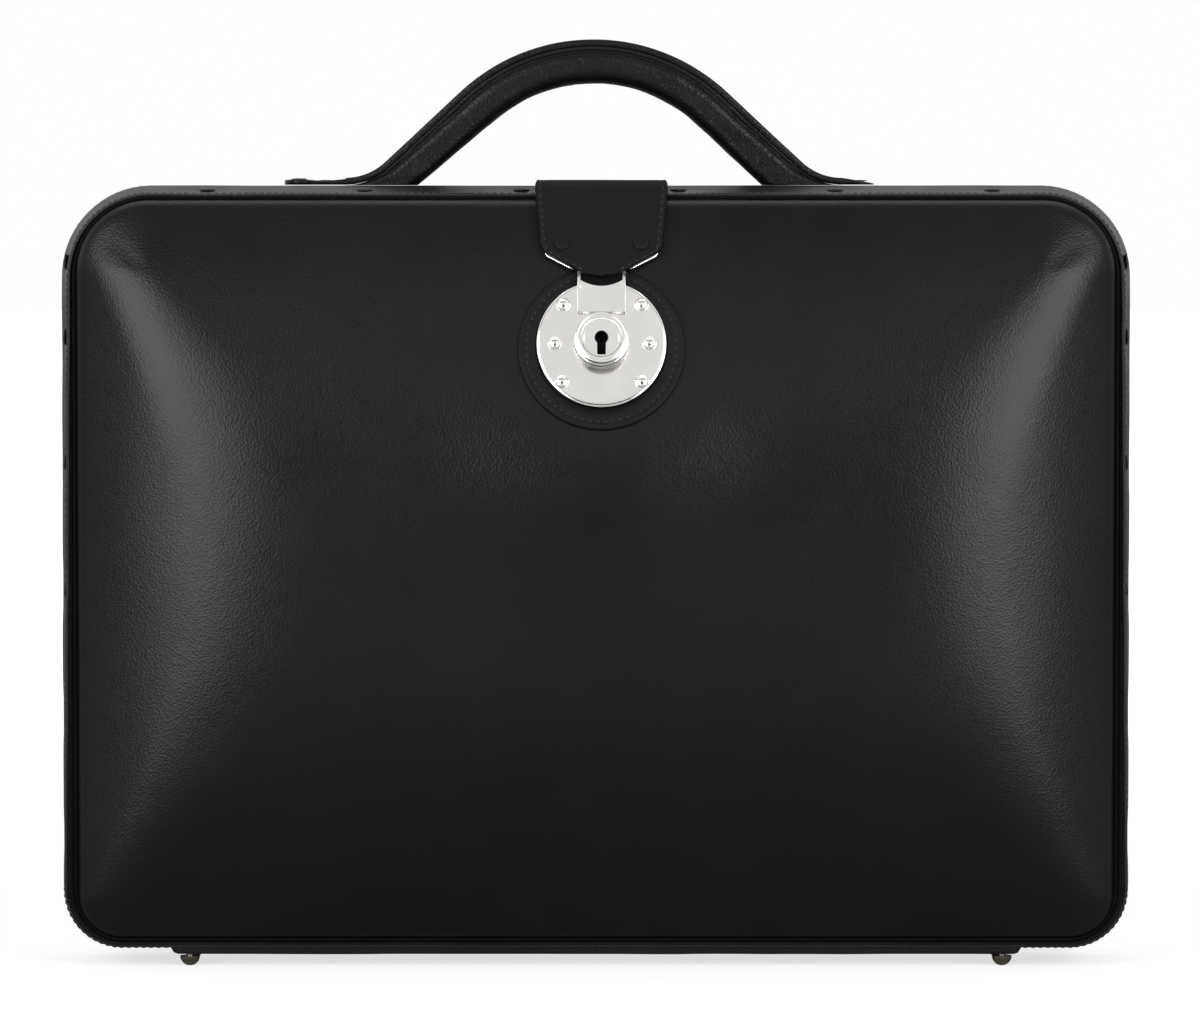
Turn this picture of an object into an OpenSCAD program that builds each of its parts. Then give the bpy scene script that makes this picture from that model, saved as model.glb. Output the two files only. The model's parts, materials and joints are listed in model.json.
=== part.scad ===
// Hard leather briefcase: two framed halves with moulded domed panels, hinged along the bottom.
// X runs across the case, Z up, and the lid with the lock faces -Y.

/* [Case] */
// Width over the rim
case_w = 445; // [420:1:470]
// Height of the rim, without handle or feet
case_h = 318; // [300:1:340]
// Corner radius of the rim
corner_r = 36; // [30:1:44]
// Depth of the lid's rim
lid_depth = 20; // [18:1:26]
// Depth of the rear half's rim
rear_depth = 32; // [30:1:42]
// How far each rim draws in from the split to its panel
rim_taper = 3.6; // [2:0.2:5]
// Gap between the two rims when shut
split_gap = 0.3; // [0.2:0.1:0.6]

/* [Walls] */
// Thickness of the rim leather
band_t = 1.8; // [1.2:0.1:2.4]
// Thickness of the wooden hoop at the split
frame_t = 10; // [9:0.5:12]
// Thickness of the panel leather
panel_t = 2.2; // [1.8:0.1:3]
// Thickness of the suede lining
lining_t = 1; // [0.6:0.1:1.4]
// Glued seat between layers
glue = 0.1; // [0.05:0.05:0.2]

/* [Panels] */
// Height of the panel's dome
dome_h = 32; // [24:1:38]
// Run of the dome from the left and right edges
dome_run_x = 95; // [80:1:120]
// Run of the dome from the top and bottom edges
dome_run_z = 150; // [130:1:160]
// Softness of the diagonal hips
hip_soft = 10; // [6:1:14]
// Radius of the panel's rolled edge
roll_r = 4; // [3:0.25:6]
// Open groove between rim and piping
groove_w = 0.4; // [0.2:0.1:1.6]
// Radius of the piping round the panel
piping_r = 0.8; // [0.6:0.1:2]

/* [Hinge and feet] */
// Length of the piano hinge
hinge_l = 350; // [300:25:360]
// Number of knuckles, front and rear together
knuckles = 14; // [8:2:18]
// Radius of the knuckles
knuckle_r = 2.4; // [2:0.1:2.6]
// Radius of the hinge pin
hinge_pin_r = 1.2; // [0.9:0.1:1.4]
// Thickness of the hinge leaves
leaf_t = 0.8; // [0.6:0.1:1]
// Thickness of the base strips
strip_t = 2.5; // [2:0.1:3.5]
// Length of the base strips
strip_l = 354; // [345:1:360]
// Radius of the ball feet
foot_r = 4.15; // [3.5:0.05:5]
// Distance of the feet from the middle
foot_x = 169; // [150:1:171]

/* [Handle] */
// Outer radius of the handle's crown
crown_r = 81.5; // [76:0.5:86]
// Top of the handle above the rim
handle_h = 60.5; // [56:0.5:66]
// Slope of the handle's legs
leg_slope = 43; // [38:1:48]
// Height of the grip under its strap
grip_h = 15.5; // [13:0.5:18]
// Width of the grip
grip_w = 21; // [18:0.5:24]
// Thickness of the strap over the grip
strap_t = 2.9; // [2:0.1:3.5]
// Width of the strap
strap_w = 19; // [16:0.5:20]
// Radius of the bend where the strap runs out flat
flare_r = 25; // [20:1:32]
// Reach of the left tongue from the middle
tongue_left = 130; // [124:1:140]
// Reach of the right tongue from the middle
tongue_right = 116; // [114:1:122]
// Radius of the wound core in the grip
core_r = 4.5; // [3:0.25:5]

/* [Tab and hasp] */
// Width of the tab at the top
tab_w = 54.6; // [50:0.2:58]
// Width of the tab above its point
tab_low_w = 50.8; // [46:0.2:54]
// Thickness of the tab
tab_t = 3; // [2.4:0.1:3.6]
// Slope of the tab's flap
flap_slope = 24; // [21:0.5:26]
// Thickness of the hasp plate
hasp_t = 1.6; // [1.2:0.1:2]
// Width of the hasp's tongue
tongue_w = 19.6; // [16:0.2:22]

/* [Lock] */
// Sideways place of the lock
lock_x = 2.3; // [-4:0.1:4]
// Lock centre below the top of the rim
lock_drop = 65.5; // [64:0.5:70]
// Radius of the leather backing
backing_r = 34.6; // [32:0.2:36]
// Thickness of the leather backing
backing_t = 2; // [1.5:0.1:2.5]
// Radius of the lock plate
plate_r = 26.7; // [26:0.1:28]
// Thickness of the lock plate
plate_t = 1.2; // [1:0.1:1.6]
// Radius of the raised boss
boss_r = 11.3; // [10.4:0.1:11.6]
// Height of the boss over the plate
boss_h = 11; // [9:0.5:13]
// Radius of the turning plug
plug_r = 8.2; // [7.8:0.1:8.6]
// Radius of the keyhole
key_r = 2.7; // [2.2:0.1:3]
// Width of the keyhole's slot
key_slot = 3.4; // [2.4:0.1:3.6]
// Depth of the keyhole
key_depth = 8; // [6:0.5:9]
// Running clearance of plug, pins and knuckles
run_gap = 0.06; // [0.04:0.01:0.1]

/* [Hidden] */
$fn = 64;

leather = [0.07, 0.065, 0.065];
edge_leather = [0.14, 0.12, 0.11];
suede = [0.36, 0.29, 0.22];
wood = [0.66, 0.5, 0.33];
nickel = [0.83, 0.82, 0.8];
steel = [0.55, 0.56, 0.58];

// Heights. The feet stand on z = 0.
strip_z = foot_r - 0.15 + glue;
case_bottom = strip_z + strip_t;
case_top = case_bottom + case_h;
mid_z = case_bottom + case_h / 2;
half_gap = split_gap / 2;

// Panel outline, measured inwards from the rim.
piping_in = rim_taper + band_t + groove_w;
panel_in = piping_in + 2 * piping_r + 2 * glue;
panel_a = case_w / 2 - panel_in;
panel_b = case_h / 2 - panel_in;
panel_r = corner_r - panel_in;
frame_in = band_t + glue + frame_t;
lining_gap = 0.3;

// The lock, in the panel's plane, and the slope of the dome there.
lock_v = case_h / 2 - lock_drop;
lock_edge = panel_b - lock_v;
lock_grade = 2 * dome_h / dome_run_z * (1 - lock_edge / dome_run_z);
lock_tilt = atan(lock_grade);
lock_rise = roll_r + hump(lock_edge, dome_run_z);
lock_f = lid_depth + glue + lock_rise;
flat_r = 40;
blend_r = 66;
plate_w = backing_t + glue;
plate_top = plate_w + glue + plate_t;
boss_top = plate_top + boss_h;

// Overall reach in front of and behind the split, and the split's own place.
boss_step = 0.7;
rear_reach = rear_depth + glue + roll_r + dome_h - hip_soft / 4;
front_reach = lock_f + boss_top * cos(lock_tilt) + (boss_r - boss_step) * sin(lock_tilt);
split_y = (front_reach - rear_reach) / 2;

// Hinge axis, just under the rims, with room round the knuckles.
hinge_v = -case_h / 2 - 0.9;
knuckle_room = 0.6;

// Ring counts of the domed panels.
corner_steps = 5;
top_steps = 9;
side_steps = 7;
roll_steps = 3;
dome_steps = 11;

function hump(d, run) = dome_h * (1 - pow(1 - min(max(d, 0) / run, 1), 2));
function soft_min(a, b, k) = min(a, b) - pow(max(k - abs(a - b), 0), 2) / (4 * k);
function smooth(t) = let (s = min(max(t, 0), 1)) s * s * (3 - 2 * s);

// Height of the dome over its rolled edge at a point of the panel.
function swell(x, v) = let (
        dx = panel_a - abs(x),
        dv = panel_b - abs(v),
        qx = max(panel_r - dx, 0),
        qv = max(panel_r - dv, 0),
        flat_d = max(min(dx, dv), 0),
        true_d = qx > 0 && qv > 0 ? max(panel_r - norm([qx, qv]), 0) : flat_d,
        share = flat_d > 0.001 ? true_d / flat_d : 0
    ) share * soft_min(hump(dx, dome_run_x), hump(dv, dome_run_z), hip_soft);

// The lid's dome has a flat patch where the lock sits.
function lid_swell(x, v) = let (
        w = smooth((norm([x - lock_x, v - lock_v]) - flat_r) / (blend_r - flat_r)),
        patch = hump(lock_edge, dome_run_z) - lock_grade * (v - lock_v)
    ) patch * (1 - w) + swell(x, v) * w;

function arc_side(q) = q % 2 == 0 ? top_steps : side_steps;
function corner_at(q, a, b, r) = [(q == 0 || q == 3 ? 1 : -1) * (a - r), (q < 2 ? 1 : -1) * (b - r)];
function on_corner(q, t, a, b, r) = corner_at(q, a, b, r) + r * [cos(90 * (q + t)), sin(90 * (q + t))];
function ring(a, b, r) = [
    for (q = [0:3]) let (n = arc_side(q), p0 = on_corner(q, 1, a, b, r), p1 = on_corner((q + 1) % 4, 0, a, b, r))
        each concat(
            [for (i = [0:corner_steps]) on_corner(q, i / corner_steps, a, b, r)],
            [for (j = [1:n - 1]) p0 + (p1 - p0) * j / n]
        )
];
function inset_ring(d) = ring(panel_a - d, panel_b - d, panel_r - d);
function scaled_ring(s) = ring((panel_a - roll_r) * s, (panel_b - roll_r) * s, (panel_r - roll_r) * s);
function plan_rings(d0, rr) = concat(
    [for (i = [0:roll_steps]) inset_ring(d0 + rr * (1 - cos(90 * i / roll_steps)))],
    [for (k = [1:dome_steps - 1]) scaled_ring(1 - k / dome_steps)]
);
function roll_lift(i, rr) = rr * sin(90 * min(i / roll_steps, 1));
function height(p, lid) = lid ? lid_swell(p.x, p.y) : swell(p.x, p.y);
function lifts(plan, rr, lid) = let (shape = plan_rings(0, roll_r)) [
    for (i = [0:len(plan) - 1]) for (j = [0:len(plan[i]) - 1])
        [plan[i][j].x, plan[i][j].y, roll_lift(i, rr) + (i == 0 ? 0 : height(shape[i][j], lid))]
];

// A domed sheet, closed round its foot. It starts the given distance inside the panel's outline.
module domed_sheet(lid, start, thick) {
    outer = plan_rings(start, roll_r - start);
    inner = plan_rings(start + thick, roll_r - start - thick);
    n = len(outer[0]);
    m = len(outer);
    top = lifts(outer, roll_r - start, lid);
    low = lifts(inner, roll_r - start - thick, lid);
    crown = roll_r - start + height([0, 0], lid);
    peak = [[0, 0, crown], [0, 0, crown - thick]];
    l0 = m * n;
    faces = concat(
        [for (i = [0:m - 2]) for (j = [0:n - 1]) let (a = i * n, b = a + n, k = (j + 1) % n)
            each [[a + j, b + j, b + k], [a + j, b + k, a + k]]],
        [for (i = [0:m - 2]) for (j = [0:n - 1]) let (a = l0 + i * n, b = a + n, k = (j + 1) % n)
            each [[a + j, b + k, b + j], [a + j, a + k, b + k]]],
        [for (j = [0:n - 1]) let (k = (j + 1) % n) [(m - 1) * n + j, 2 * l0, (m - 1) * n + k]],
        [for (j = [0:n - 1]) let (k = (j + 1) % n) [l0 + (m - 1) * n + j, l0 + (m - 1) * n + k, 2 * l0 + 1]],
        [for (j = [0:n - 1]) let (k = (j + 1) % n) each [[j, k, l0 + k], [j, l0 + k, l0 + j]]]
    );
    polyhedron(concat(top, low, peak), faces, convexity = 6);
}

// Local frame of each half: x across, y up, z away from the split.
module lid_half() {
    translate([0, split_y, mid_z]) rotate([90, 0, 0]) children();
}

module rear_half() {
    translate([0, split_y, mid_z]) rotate([90, 0, 0]) mirror([0, 0, 1]) children();
}

// Frame on the lid's flat patch: x across, y up the slope, z out of the panel.
module at_lock() {
    lid_half() translate([lock_x, lock_v, lock_f]) rotate([-lock_tilt, 0, 0]) children();
}

// A profile (offset outwards, depth) carried round the rounded rectangle of the rim.
module hoop() {
    long_side = case_w - 2 * corner_r;
    high_side = case_h - 2 * corner_r;
    for (s = [0, 180]) rotate([0, 0, s]) {
        translate([long_side / 2, 0, 0]) rim_side(high_side) children();
        translate([0, high_side / 2, 0]) rotate([0, 0, 90]) rim_side(long_side) children();
        translate([long_side / 2, high_side / 2, 0]) rim_corner() children();
        translate([-long_side / 2, high_side / 2, 0]) rotate([0, 0, 90]) rim_corner() children();
    }
}

module rim_side(l) {
    translate([corner_r, l / 2, 0]) rotate([90, 0, 0]) linear_extrude(l) children();
}

module rim_corner() {
    rotate_extrude(angle = 90) translate([corner_r, 0]) children();
}

// Carries an outline drawn as (up, away from the split) across the case.
module across(l) {
    rotate([0, 90, 0]) rotate([0, 0, 90]) linear_extrude(l) children();
}

module domed_head(r, h) {
    ball_r = (r * r + h * h) / (2 * h);
    intersection() {
        translate([0, 0, h - ball_r]) sphere(ball_r);
        cylinder(r = r + 1, h = h + 1);
    }
}

// ---- Rims: wooden hoops, leather bands, piping, linings ----

rivet_head_r = 3.8;
rivet_head_h = 1;
rivet_shank_r = 1.2;
rivet_l = 6;
side_rivets_v = [-113, -62, -9, 44, 96, 127];
top_rivets_x = [for (i = [0:5]) -161 + 65 * i];
// The rear rim has none where the handle's tongues lie.
rear_top_rivets_x = [for (i = [0, 2, 3, 5]) top_rivets_x[i]];

// Places on the rim where a rivet's axis leaves it, for a rim of the given depth.
module on_rim(depth, at, top_x) {
    lean = atan(rim_taper / depth);
    for (s = [-1, 1], v = side_rivets_v)
        translate([s * (case_w / 2 - rim_taper * at / depth), v, at]) rotate([0, s * (90 - lean), 0]) children();
    for (x = top_x)
        translate([x, case_h / 2 - rim_taper * at / depth, at]) rotate([lean - 90, 0, 0]) children();
}

module rim_rivet_bores(depth, top_x) {
    on_rim(depth, depth / 2, top_x) translate([0, 0, -rivet_l - glue])
        cylinder(r = rivet_shank_r + run_gap, h = rivet_l + 2);
}

module rim_rivets(depth, top_x) {
    on_rim(depth, depth / 2, top_x) union() {
        translate([0, 0, glue]) domed_head(rivet_head_r, rivet_head_h);
        translate([0, 0, -rivet_l]) cylinder(r = rivet_shank_r, h = rivet_l + glue + 0.1);
    }
}

module band(depth) {
    hoop() polygon([
        [0, half_gap], [-rim_taper, depth], [-rim_taper - band_t, depth], [-band_t, half_gap]
    ]);
}

module frame_hoop(depth) {
    hoop() polygon([
        [-band_t - glue, half_gap], [-rim_taper - band_t - glue, depth],
        [-frame_in, depth], [-frame_in, half_gap]
    ]);
}

module piping(depth) {
    hoop() translate([-piping_in - piping_r, depth + piping_r + glue]) circle(piping_r, $fn = 24);
}

module side_lining(from, depth) {
    hoop() polygon([
        [-frame_in - glue, from], [-frame_in - glue, depth],
        [-frame_in - glue - lining_t, depth], [-frame_in - glue - lining_t, from]
    ]);
}

// Room for the knuckles and the leaf along the bottom of a rim.
module hinge_room() {
    l = hinge_l + 2;
    translate([-l / 2, hinge_v, -1]) cube([l, knuckle_r + knuckle_room, 1 + knuckle_r + knuckle_room]);
    translate([-l / 2, hinge_v, -1]) cube([l, leaf_top() - hinge_v + glue, 1 + half_gap + leaf_t + glue]);
}

function leaf_top() = -case_h / 2 + frame_in - 0.5;

module rear_frame() {
    color(wood) rear_half() difference() {
        frame_hoop(rear_depth);
        rim_rivet_bores(rear_depth, rear_top_rivets_x);
        hinge_room();
        foot_bores(rear_foot_f);
        hinge_screw_bores();
        handle_rivet_bores();
        anchor_rivet_bores();
    }
}

module rear_band() {
    color(leather) rear_half() difference() {
        band(rear_depth);
        rim_rivet_bores(rear_depth, rear_top_rivets_x);
        hinge_room();
        foot_bores(rear_foot_f);
        handle_rivet_bores();
        anchor_rivet_bores();
    }
}

module rear_piping() {
    color(edge_leather) rear_half() piping(rear_depth);
}

module rear_panel() {
    color(leather) rear_half() translate([0, 0, rear_depth + glue]) domed_sheet(false, 0, panel_t);
}

module rear_panel_lining() {
    color(suede) rear_half() translate([0, 0, rear_depth + glue])
        domed_sheet(false, panel_t + lining_gap, lining_t);
}

module rear_side_lining() {
    color(suede) rear_half() difference() {
        side_lining(lip_root + lining_gap, rear_depth);
        handle_rivet_bores();
    }
}

module rear_rivets() {
    color(leather) rear_half() rim_rivets(rear_depth, rear_top_rivets_x);
}

lip_t = 1;
lip_reach = 4;
lip_root = 6;
lip_clear = 0.5;

module lip_profile() {
    polygon([
        [-frame_in - lip_clear, -lip_reach], [-frame_in - lip_clear, half_gap],
        [-frame_in - glue, half_gap], [-frame_in - glue, lip_root],
        [-frame_in - glue - lip_t, lip_root], [-frame_in - lip_clear - lip_t, half_gap],
        [-frame_in - lip_clear - lip_t, -lip_reach]
    ]);
}

module rear_lip() {
    color(steel) rear_half() hoop() lip_profile();
}

module lid_frame() {
    color(wood) lid_half() difference() {
        frame_hoop(lid_depth);
        rim_rivet_bores(lid_depth, top_rivets_x);
        hinge_room();
        foot_bores(lid_foot_f);
        hinge_screw_bores();
    }
}

module lid_band() {
    color(leather) lid_half() difference() {
        band(lid_depth);
        rim_rivet_bores(lid_depth, top_rivets_x);
        hinge_room();
        foot_bores(lid_foot_f);
    }
}

module lid_piping() {
    color(edge_leather) lid_half() piping(lid_depth);
}

module lid_panel() {
    color(leather) difference() {
        lid_half() translate([0, 0, lid_depth + glue]) domed_sheet(true, 0, panel_t);
        at_lock() lock_well(0.4);
        at_lock() rivet_ring() cylinder(r = lock_shank_r + run_gap, h = 20, center = true);
    }
}

module lid_panel_lining() {
    color(suede) difference() {
        lid_half() translate([0, 0, lid_depth + glue]) domed_sheet(true, panel_t + lining_gap, lining_t);
        at_lock() cylinder(r = flat_r - 8, h = 60, center = true);
    }
}

module lid_side_lining() {
    color(suede) lid_half() side_lining(lip_reach + 2, lid_depth);
}

module lid_rivets() {
    color(leather) lid_half() rim_rivets(lid_depth, top_rivets_x);
}

// ---- Hinge, base strips and feet ----

hinge_screw_r = 1.1;
hinge_screw_l = 9;
hinge_screws = 6;

module knuckle_slots(first) {
    pitch = hinge_l / knuckles;
    for (i = [first:2:knuckles - 1])
        translate([-hinge_l / 2 + pitch * i + 0.15, hinge_v, 0]) rotate([0, 90, 0]) children();
}

module hinge_screw_places() {
    step = hinge_l / hinge_screws;
    for (i = [0:hinge_screws - 1])
        translate([-hinge_l / 2 + step * (i + 0.5), leaf_top() - 4, half_gap + leaf_t]) children();
}

module hinge_screw_bores() {
    hinge_screw_places() cylinder(r = hinge_screw_r + run_gap, h = hinge_screw_l + 0.3);
}

// One leaf: a plate let into the rim, and every second knuckle. The lid's and the rear's interleave.
module hinge_leaf(first) {
    pitch = hinge_l / knuckles;
    difference() {
        union() {
            translate([-hinge_l / 2, hinge_v + knuckle_r + 0.3, half_gap])
                cube([hinge_l, leaf_top() - hinge_v - knuckle_r - 0.3, leaf_t]);
            knuckle_slots(first) cylinder(r = knuckle_r, h = pitch - 0.3);
            for (i = [first:2:knuckles - 1])
                translate([-hinge_l / 2 + pitch * i + 0.15, hinge_v, half_gap])
                    cube([pitch - 0.3, knuckle_r + 0.6, leaf_t]);
        }
        translate([-hinge_l / 2 - 1, hinge_v, 0]) rotate([0, 90, 0])
            cylinder(r = hinge_pin_r + run_gap, h = hinge_l + 2);
        hinge_screw_places() translate([0, 0, -leaf_t - 1]) cylinder(r = hinge_screw_r + run_gap, h = 3);
    }
}

module hinge_screws() {
    hinge_screw_places() translate([0, 0, -leaf_t]) cylinder(r = hinge_screw_r, h = leaf_t + hinge_screw_l);
}

module rear_hinge_leaf() {
    color(nickel) rear_half() hinge_leaf(0);
}

module lid_hinge_leaf() {
    color(nickel) lid_half() hinge_leaf(1);
}

module hinge_pin() {
    color(steel) rear_half() translate([-hinge_l / 2 - 0.5, hinge_v, 0]) rotate([0, 90, 0])
        cylinder(r = hinge_pin_r, h = hinge_l + 1);
}

module rear_hinge_screws() {
    color(steel) rear_half() hinge_screws();
}

module lid_hinge_screws() {
    color(steel) lid_half() hinge_screws();
}

strip_start = knuckle_r + knuckle_room + 0.2;
strip_back = 3;
rear_foot_f = 19;
lid_foot_f = 11;
foot_shank_r = 1.5;
foot_shank_l = 9;

module base_strip(depth, foot_f) {
    bottom = -case_h / 2;
    end = depth - strip_back;
    slope = rim_taper / depth;
    difference() {
        translate([-strip_l / 2, 0, 0]) across(strip_l) polygon([
            [bottom - strip_t, strip_start], [bottom - strip_t, end],
            [bottom - glue + slope * end, end], [bottom - glue + slope * strip_start, strip_start]
        ]);
        foot_bores(foot_f);
    }
}

module foot_places(foot_f) {
    for (s = [-1, 1]) translate([s * foot_x, -case_h / 2 - strip_t - glue, foot_f]) rotate([-90, 0, 0]) children();
}

module foot_bores(foot_f) {
    foot_places(foot_f) cylinder(r = foot_shank_r + run_gap, h = foot_shank_l + 0.3);
}

// A ball stud: lower half of a ball with a small worn flat, on a shank.
module feet(foot_f) {
    foot_places(foot_f) union() {
        intersection() {
            sphere(foot_r);
            translate([-foot_r, -foot_r, -foot_r + 0.15]) cube([2 * foot_r, 2 * foot_r, foot_r - 0.15]);
        }
        translate([0, 0, -1]) cylinder(r = foot_shank_r, h = foot_shank_l + 1);
    }
}

module rear_base_strip() {
    color(leather) rear_half() base_strip(rear_depth, rear_foot_f);
}

module lid_base_strip() {
    color(leather) lid_half() base_strip(lid_depth, lid_foot_f);
}

module rear_feet() {
    color(nickel) rear_half() feet(rear_foot_f);
}

module lid_feet() {
    color(nickel) lid_half() feet(lid_foot_f);
}

// ---- Handle, on the middle of the rear rim ----

handle_f = rear_depth / 2;
handle_x = -1;
crown_v = case_h / 2 + handle_h - crown_r;
tongue_top = case_h / 2 + 2.9;
leg_run = (crown_v + crown_r * cos(leg_slope) - tongue_top) / tan(leg_slope);
flare_x = crown_r * sin(leg_slope) + leg_run + flare_r * tan(leg_slope / 2);
flare_steps = 6;
crown_steps = 18;
handle_rivet_r = 1.4;
handle_rivet_in = 6;
handle_rivet_gap = 11;
handle_rivets_x = [
    -tongue_left + handle_rivet_in, -tongue_left + handle_rivet_in + handle_rivet_gap,
    tongue_right - handle_rivet_in
];

// Half of the strap's upper line, from the crown down to the flare's end, moved in by d.
function strap_half(s, d) = concat(
    [for (i = [0:crown_steps]) let (a = leg_slope * i / crown_steps)
        [s * (crown_r - d) * sin(a) + handle_x, crown_v + (crown_r - d) * cos(a)]],
    [for (i = [0:flare_steps]) let (a = leg_slope * (1 - i / flare_steps))
        [s * (flare_x - (flare_r + d) * sin(a)) + handle_x, tongue_top + flare_r - (flare_r + d) * cos(a)]]
);
function strap_end(s, d) = [s < 0 ? -tongue_left : tongue_right, tongue_top - d];
function backwards(p) = [for (i = [len(p) - 1:-1:0]) p[i]];
function strap_line(d) = concat(
    [strap_end(-1, d)], backwards(strap_half(-1, d)),
    [for (i = [1:len(strap_half(1, d)) - 1]) strap_half(1, d)[i]], [strap_end(1, d)]
);

// Everything under the rear rim's top surface, raised by a seat.
module under_rim(seat) {
    top = case_h / 2 + seat;
    translate([-case_w / 2, 0, 0]) across(case_w) polygon([
        [0, -20], [top + rim_taper * 20 / rear_depth, -20],
        [top - rim_taper * (rear_depth + 20) / rear_depth, rear_depth + 20], [0, rear_depth + 20]
    ]);
}

module grip_section(r) {
    translate([r, 0]) {
        square([grip_h - 12, grip_w - 12], center = true);
        square([grip_h, grip_w - 12], center = true);
        square([grip_h - 12, grip_w], center = true);
        for (x = [-1, 1], y = [-1, 1])
            translate([x * (grip_h / 2 - 6), y * (grip_w / 2 - 6)]) circle(6, $fn = 32);
    }
}

// Carries a section round the crown and down both legs.
module handle_sweep(r, leg) {
    translate([handle_x, crown_v, handle_f]) {
        rotate([0, 0, 90 - leg_slope]) rotate_extrude(angle = 2 * leg_slope) children();
        for (s = [0, 1]) mirror([s, 0, 0]) rotate([0, 0, 90 - leg_slope]) rotate([90, 0, 0])
            linear_extrude(leg) children();
    }
}

grip_mid = crown_r - strap_t - glue - grip_h / 2;

module handle_grip() {
    color(leather) rear_half() difference() {
        union() {
            handle_sweep(grip_mid, 60) grip_section(grip_mid);
            for (s = [-1, 1]) heel(s);
        }
        handle_sweep(grip_mid, 30) translate([grip_mid, 0]) circle(core_r + glue, $fn = 32);
        under_rim(glue);
    }
}

// Leather filler under the strap's run-out.
module heel(s) {
    d = strap_t + glue;
    line = [for (i = [0:flare_steps]) strap_half(s, d)[crown_steps + 1 + i]];
    low = case_h / 2 - rim_taper - 2;
    translate([0, 0, handle_f - strap_w / 2]) linear_extrude(strap_w) polygon(concat(
        line, [[s * flare_x + handle_x, low], [s * (flare_x - 30) + handle_x, low]]
    ));
}

module handle_core() {
    color(suede) rear_half() handle_sweep(grip_mid, 29.5) translate([grip_mid, 0]) circle(core_r, $fn = 32);
}

module handle_strap() {
    color(leather) rear_half() difference() {
        translate([0, 0, handle_f - strap_w / 2]) linear_extrude(strap_w)
            polygon(concat(strap_line(0), backwards(strap_line(strap_t))));
        under_rim(glue);
        handle_rivet_bores();
    }
}

module handle_rivet_places() {
    for (x = handle_rivets_x) translate([x, case_h / 2, handle_f]) rotate([-90, 0, 0]) children();
}

module handle_rivet_bores() {
    handle_rivet_places() translate([0, 0, -frame_in - lining_t - 3])
        cylinder(r = handle_rivet_r + run_gap, h = 2 * frame_in);
}

module handle_rivets() {
    color(leather) rear_half() handle_rivet_places() union() {
        translate([0, 0, tongue_top - case_h / 2 + glue]) domed_head(3.4, 0.6);
        translate([0, 0, -frame_in - 2]) cylinder(r = handle_rivet_r, h = frame_in + 2 + tongue_top - case_h / 2 + 0.4);
    }
}

module handle_washers() {
    color(nickel) rear_half() handle_rivet_places() translate([0, 0, -frame_in - lining_t - 2 * glue - 0.8])
        difference() {
            cylinder(r = 4, h = 0.8);
            translate([0, 0, -1]) cylinder(r = handle_rivet_r + run_gap, h = 3);
        }
}

// ---- Tab: anchored on the rear rim, folding over the lid to carry the hasp ----

tab_gap = 0.3;
tab_axis_v = case_h / 2 + tab_gap + tab_t / 2;
tab_axis_f = -2.2;
anchor_end = 28;
anchor_rivet_f = 21;
anchor_rivet_r = 1.4;

module anchor_rivet_places() {
    for (s = [-1, 1]) translate([lock_x + s * 16.2, case_h / 2, anchor_rivet_f]) rotate([-90, 0, 0]) children();
}

module anchor_rivet_bores() {
    anchor_rivet_places() translate([0, 0, -8]) cylinder(r = anchor_rivet_r + run_gap, h = 16);
}

module tab_anchor() {
    start = -tab_axis_f + tab_t / 2 + tab_gap;
    color(leather) rear_half() difference() {
        translate([lock_x - tab_w / 2, 0, 0]) across(tab_w) polygon([
            [case_h / 2 - 6, start], [case_h / 2 + tab_gap + tab_t, start],
            [case_h / 2 + tab_gap + tab_t - rim_taper * (anchor_end - start) / rear_depth, anchor_end],
            [case_h / 2 - 6, anchor_end]
        ]);
        under_rim(glue);
        anchor_rivet_bores();
    }
}

module tab_anchor_rivets() {
    top = tab_gap + tab_t - rim_taper * (anchor_rivet_f - 4) / rear_depth;
    color(leather) rear_half() anchor_rivet_places() union() {
        translate([0, 0, top + 0.55]) domed_head(4, 1.1);
        translate([0, 0, -7]) cylinder(r = anchor_rivet_r, h = top + 7.7);
    }
}

// Frame on the underside of the flap, where it leaves the hasp's tongue.
flap_v = 27;
flap_w = plate_top + glue + hasp_t + 0.4;
flap_turn = flap_slope - lock_tilt;

module at_flap() {
    at_lock() translate([0, flap_v, flap_w]) rotate([-flap_turn, 0, 0]) children();
}

// Where the flap's underside meets the underside of the level part.
flap_foot_v = lock_v + flap_v * cos(lock_tilt) + flap_w * sin(lock_tilt);
flap_foot_f = lock_f - flap_v * sin(lock_tilt) + flap_w * cos(lock_tilt);
tab_under_v = tab_axis_v - tab_t / 2;
fold_f = flap_foot_f - (tab_under_v - flap_foot_v) * tan(flap_slope);
fold_r = 3;
fold_turn = 90 - flap_slope;
fold_back = fold_r * tan(fold_turn / 2);
flap_l = (tab_under_v - flap_foot_v) / cos(flap_slope) - fold_back;
hasp_rivet_y = 14.5;
hasp_rivet_x = 16.2;
hasp_rivet_r = 1.3;

// The flap's lower edge: a rounded corner, a slanted run and a round tip.
flap_corner_y = 17.5;
flap_corner_w = 2.2;
flap_slant_y = 11.9;
tip_w = 12.6;
tip_r = 20.2;
tip_low = 2.3;
tip_lap = 0.5;
tip_high = tip_low + tip_r - sqrt(tip_r * tip_r - tip_w * tip_w) - tip_lap;
hasp_edge_w = 23.6;
hasp_top = 24;
hasp_show = 0.9;

function mirrored(points) = concat(points, [for (i = [len(points) - 1:-1:0]) [-points[i][0], points[i][1]]]);

module flap_outline() {
    w = tab_low_w / 2;
    polygon(mirrored([
        [-tab_w / 2, flap_l + 0.3], [-w, flap_corner_y],
        [-w + flap_corner_w / 4, (flap_corner_y + flap_slant_y) / 2 - 0.5],
        [-w + flap_corner_w, flap_slant_y], [-tip_w, tip_high]
    ]));
    intersection() {
        translate([0, tip_low + tip_r]) circle(tip_r);
        translate([-tip_w, 0]) square([2 * tip_w, flap_slant_y]);
    }
}

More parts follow.
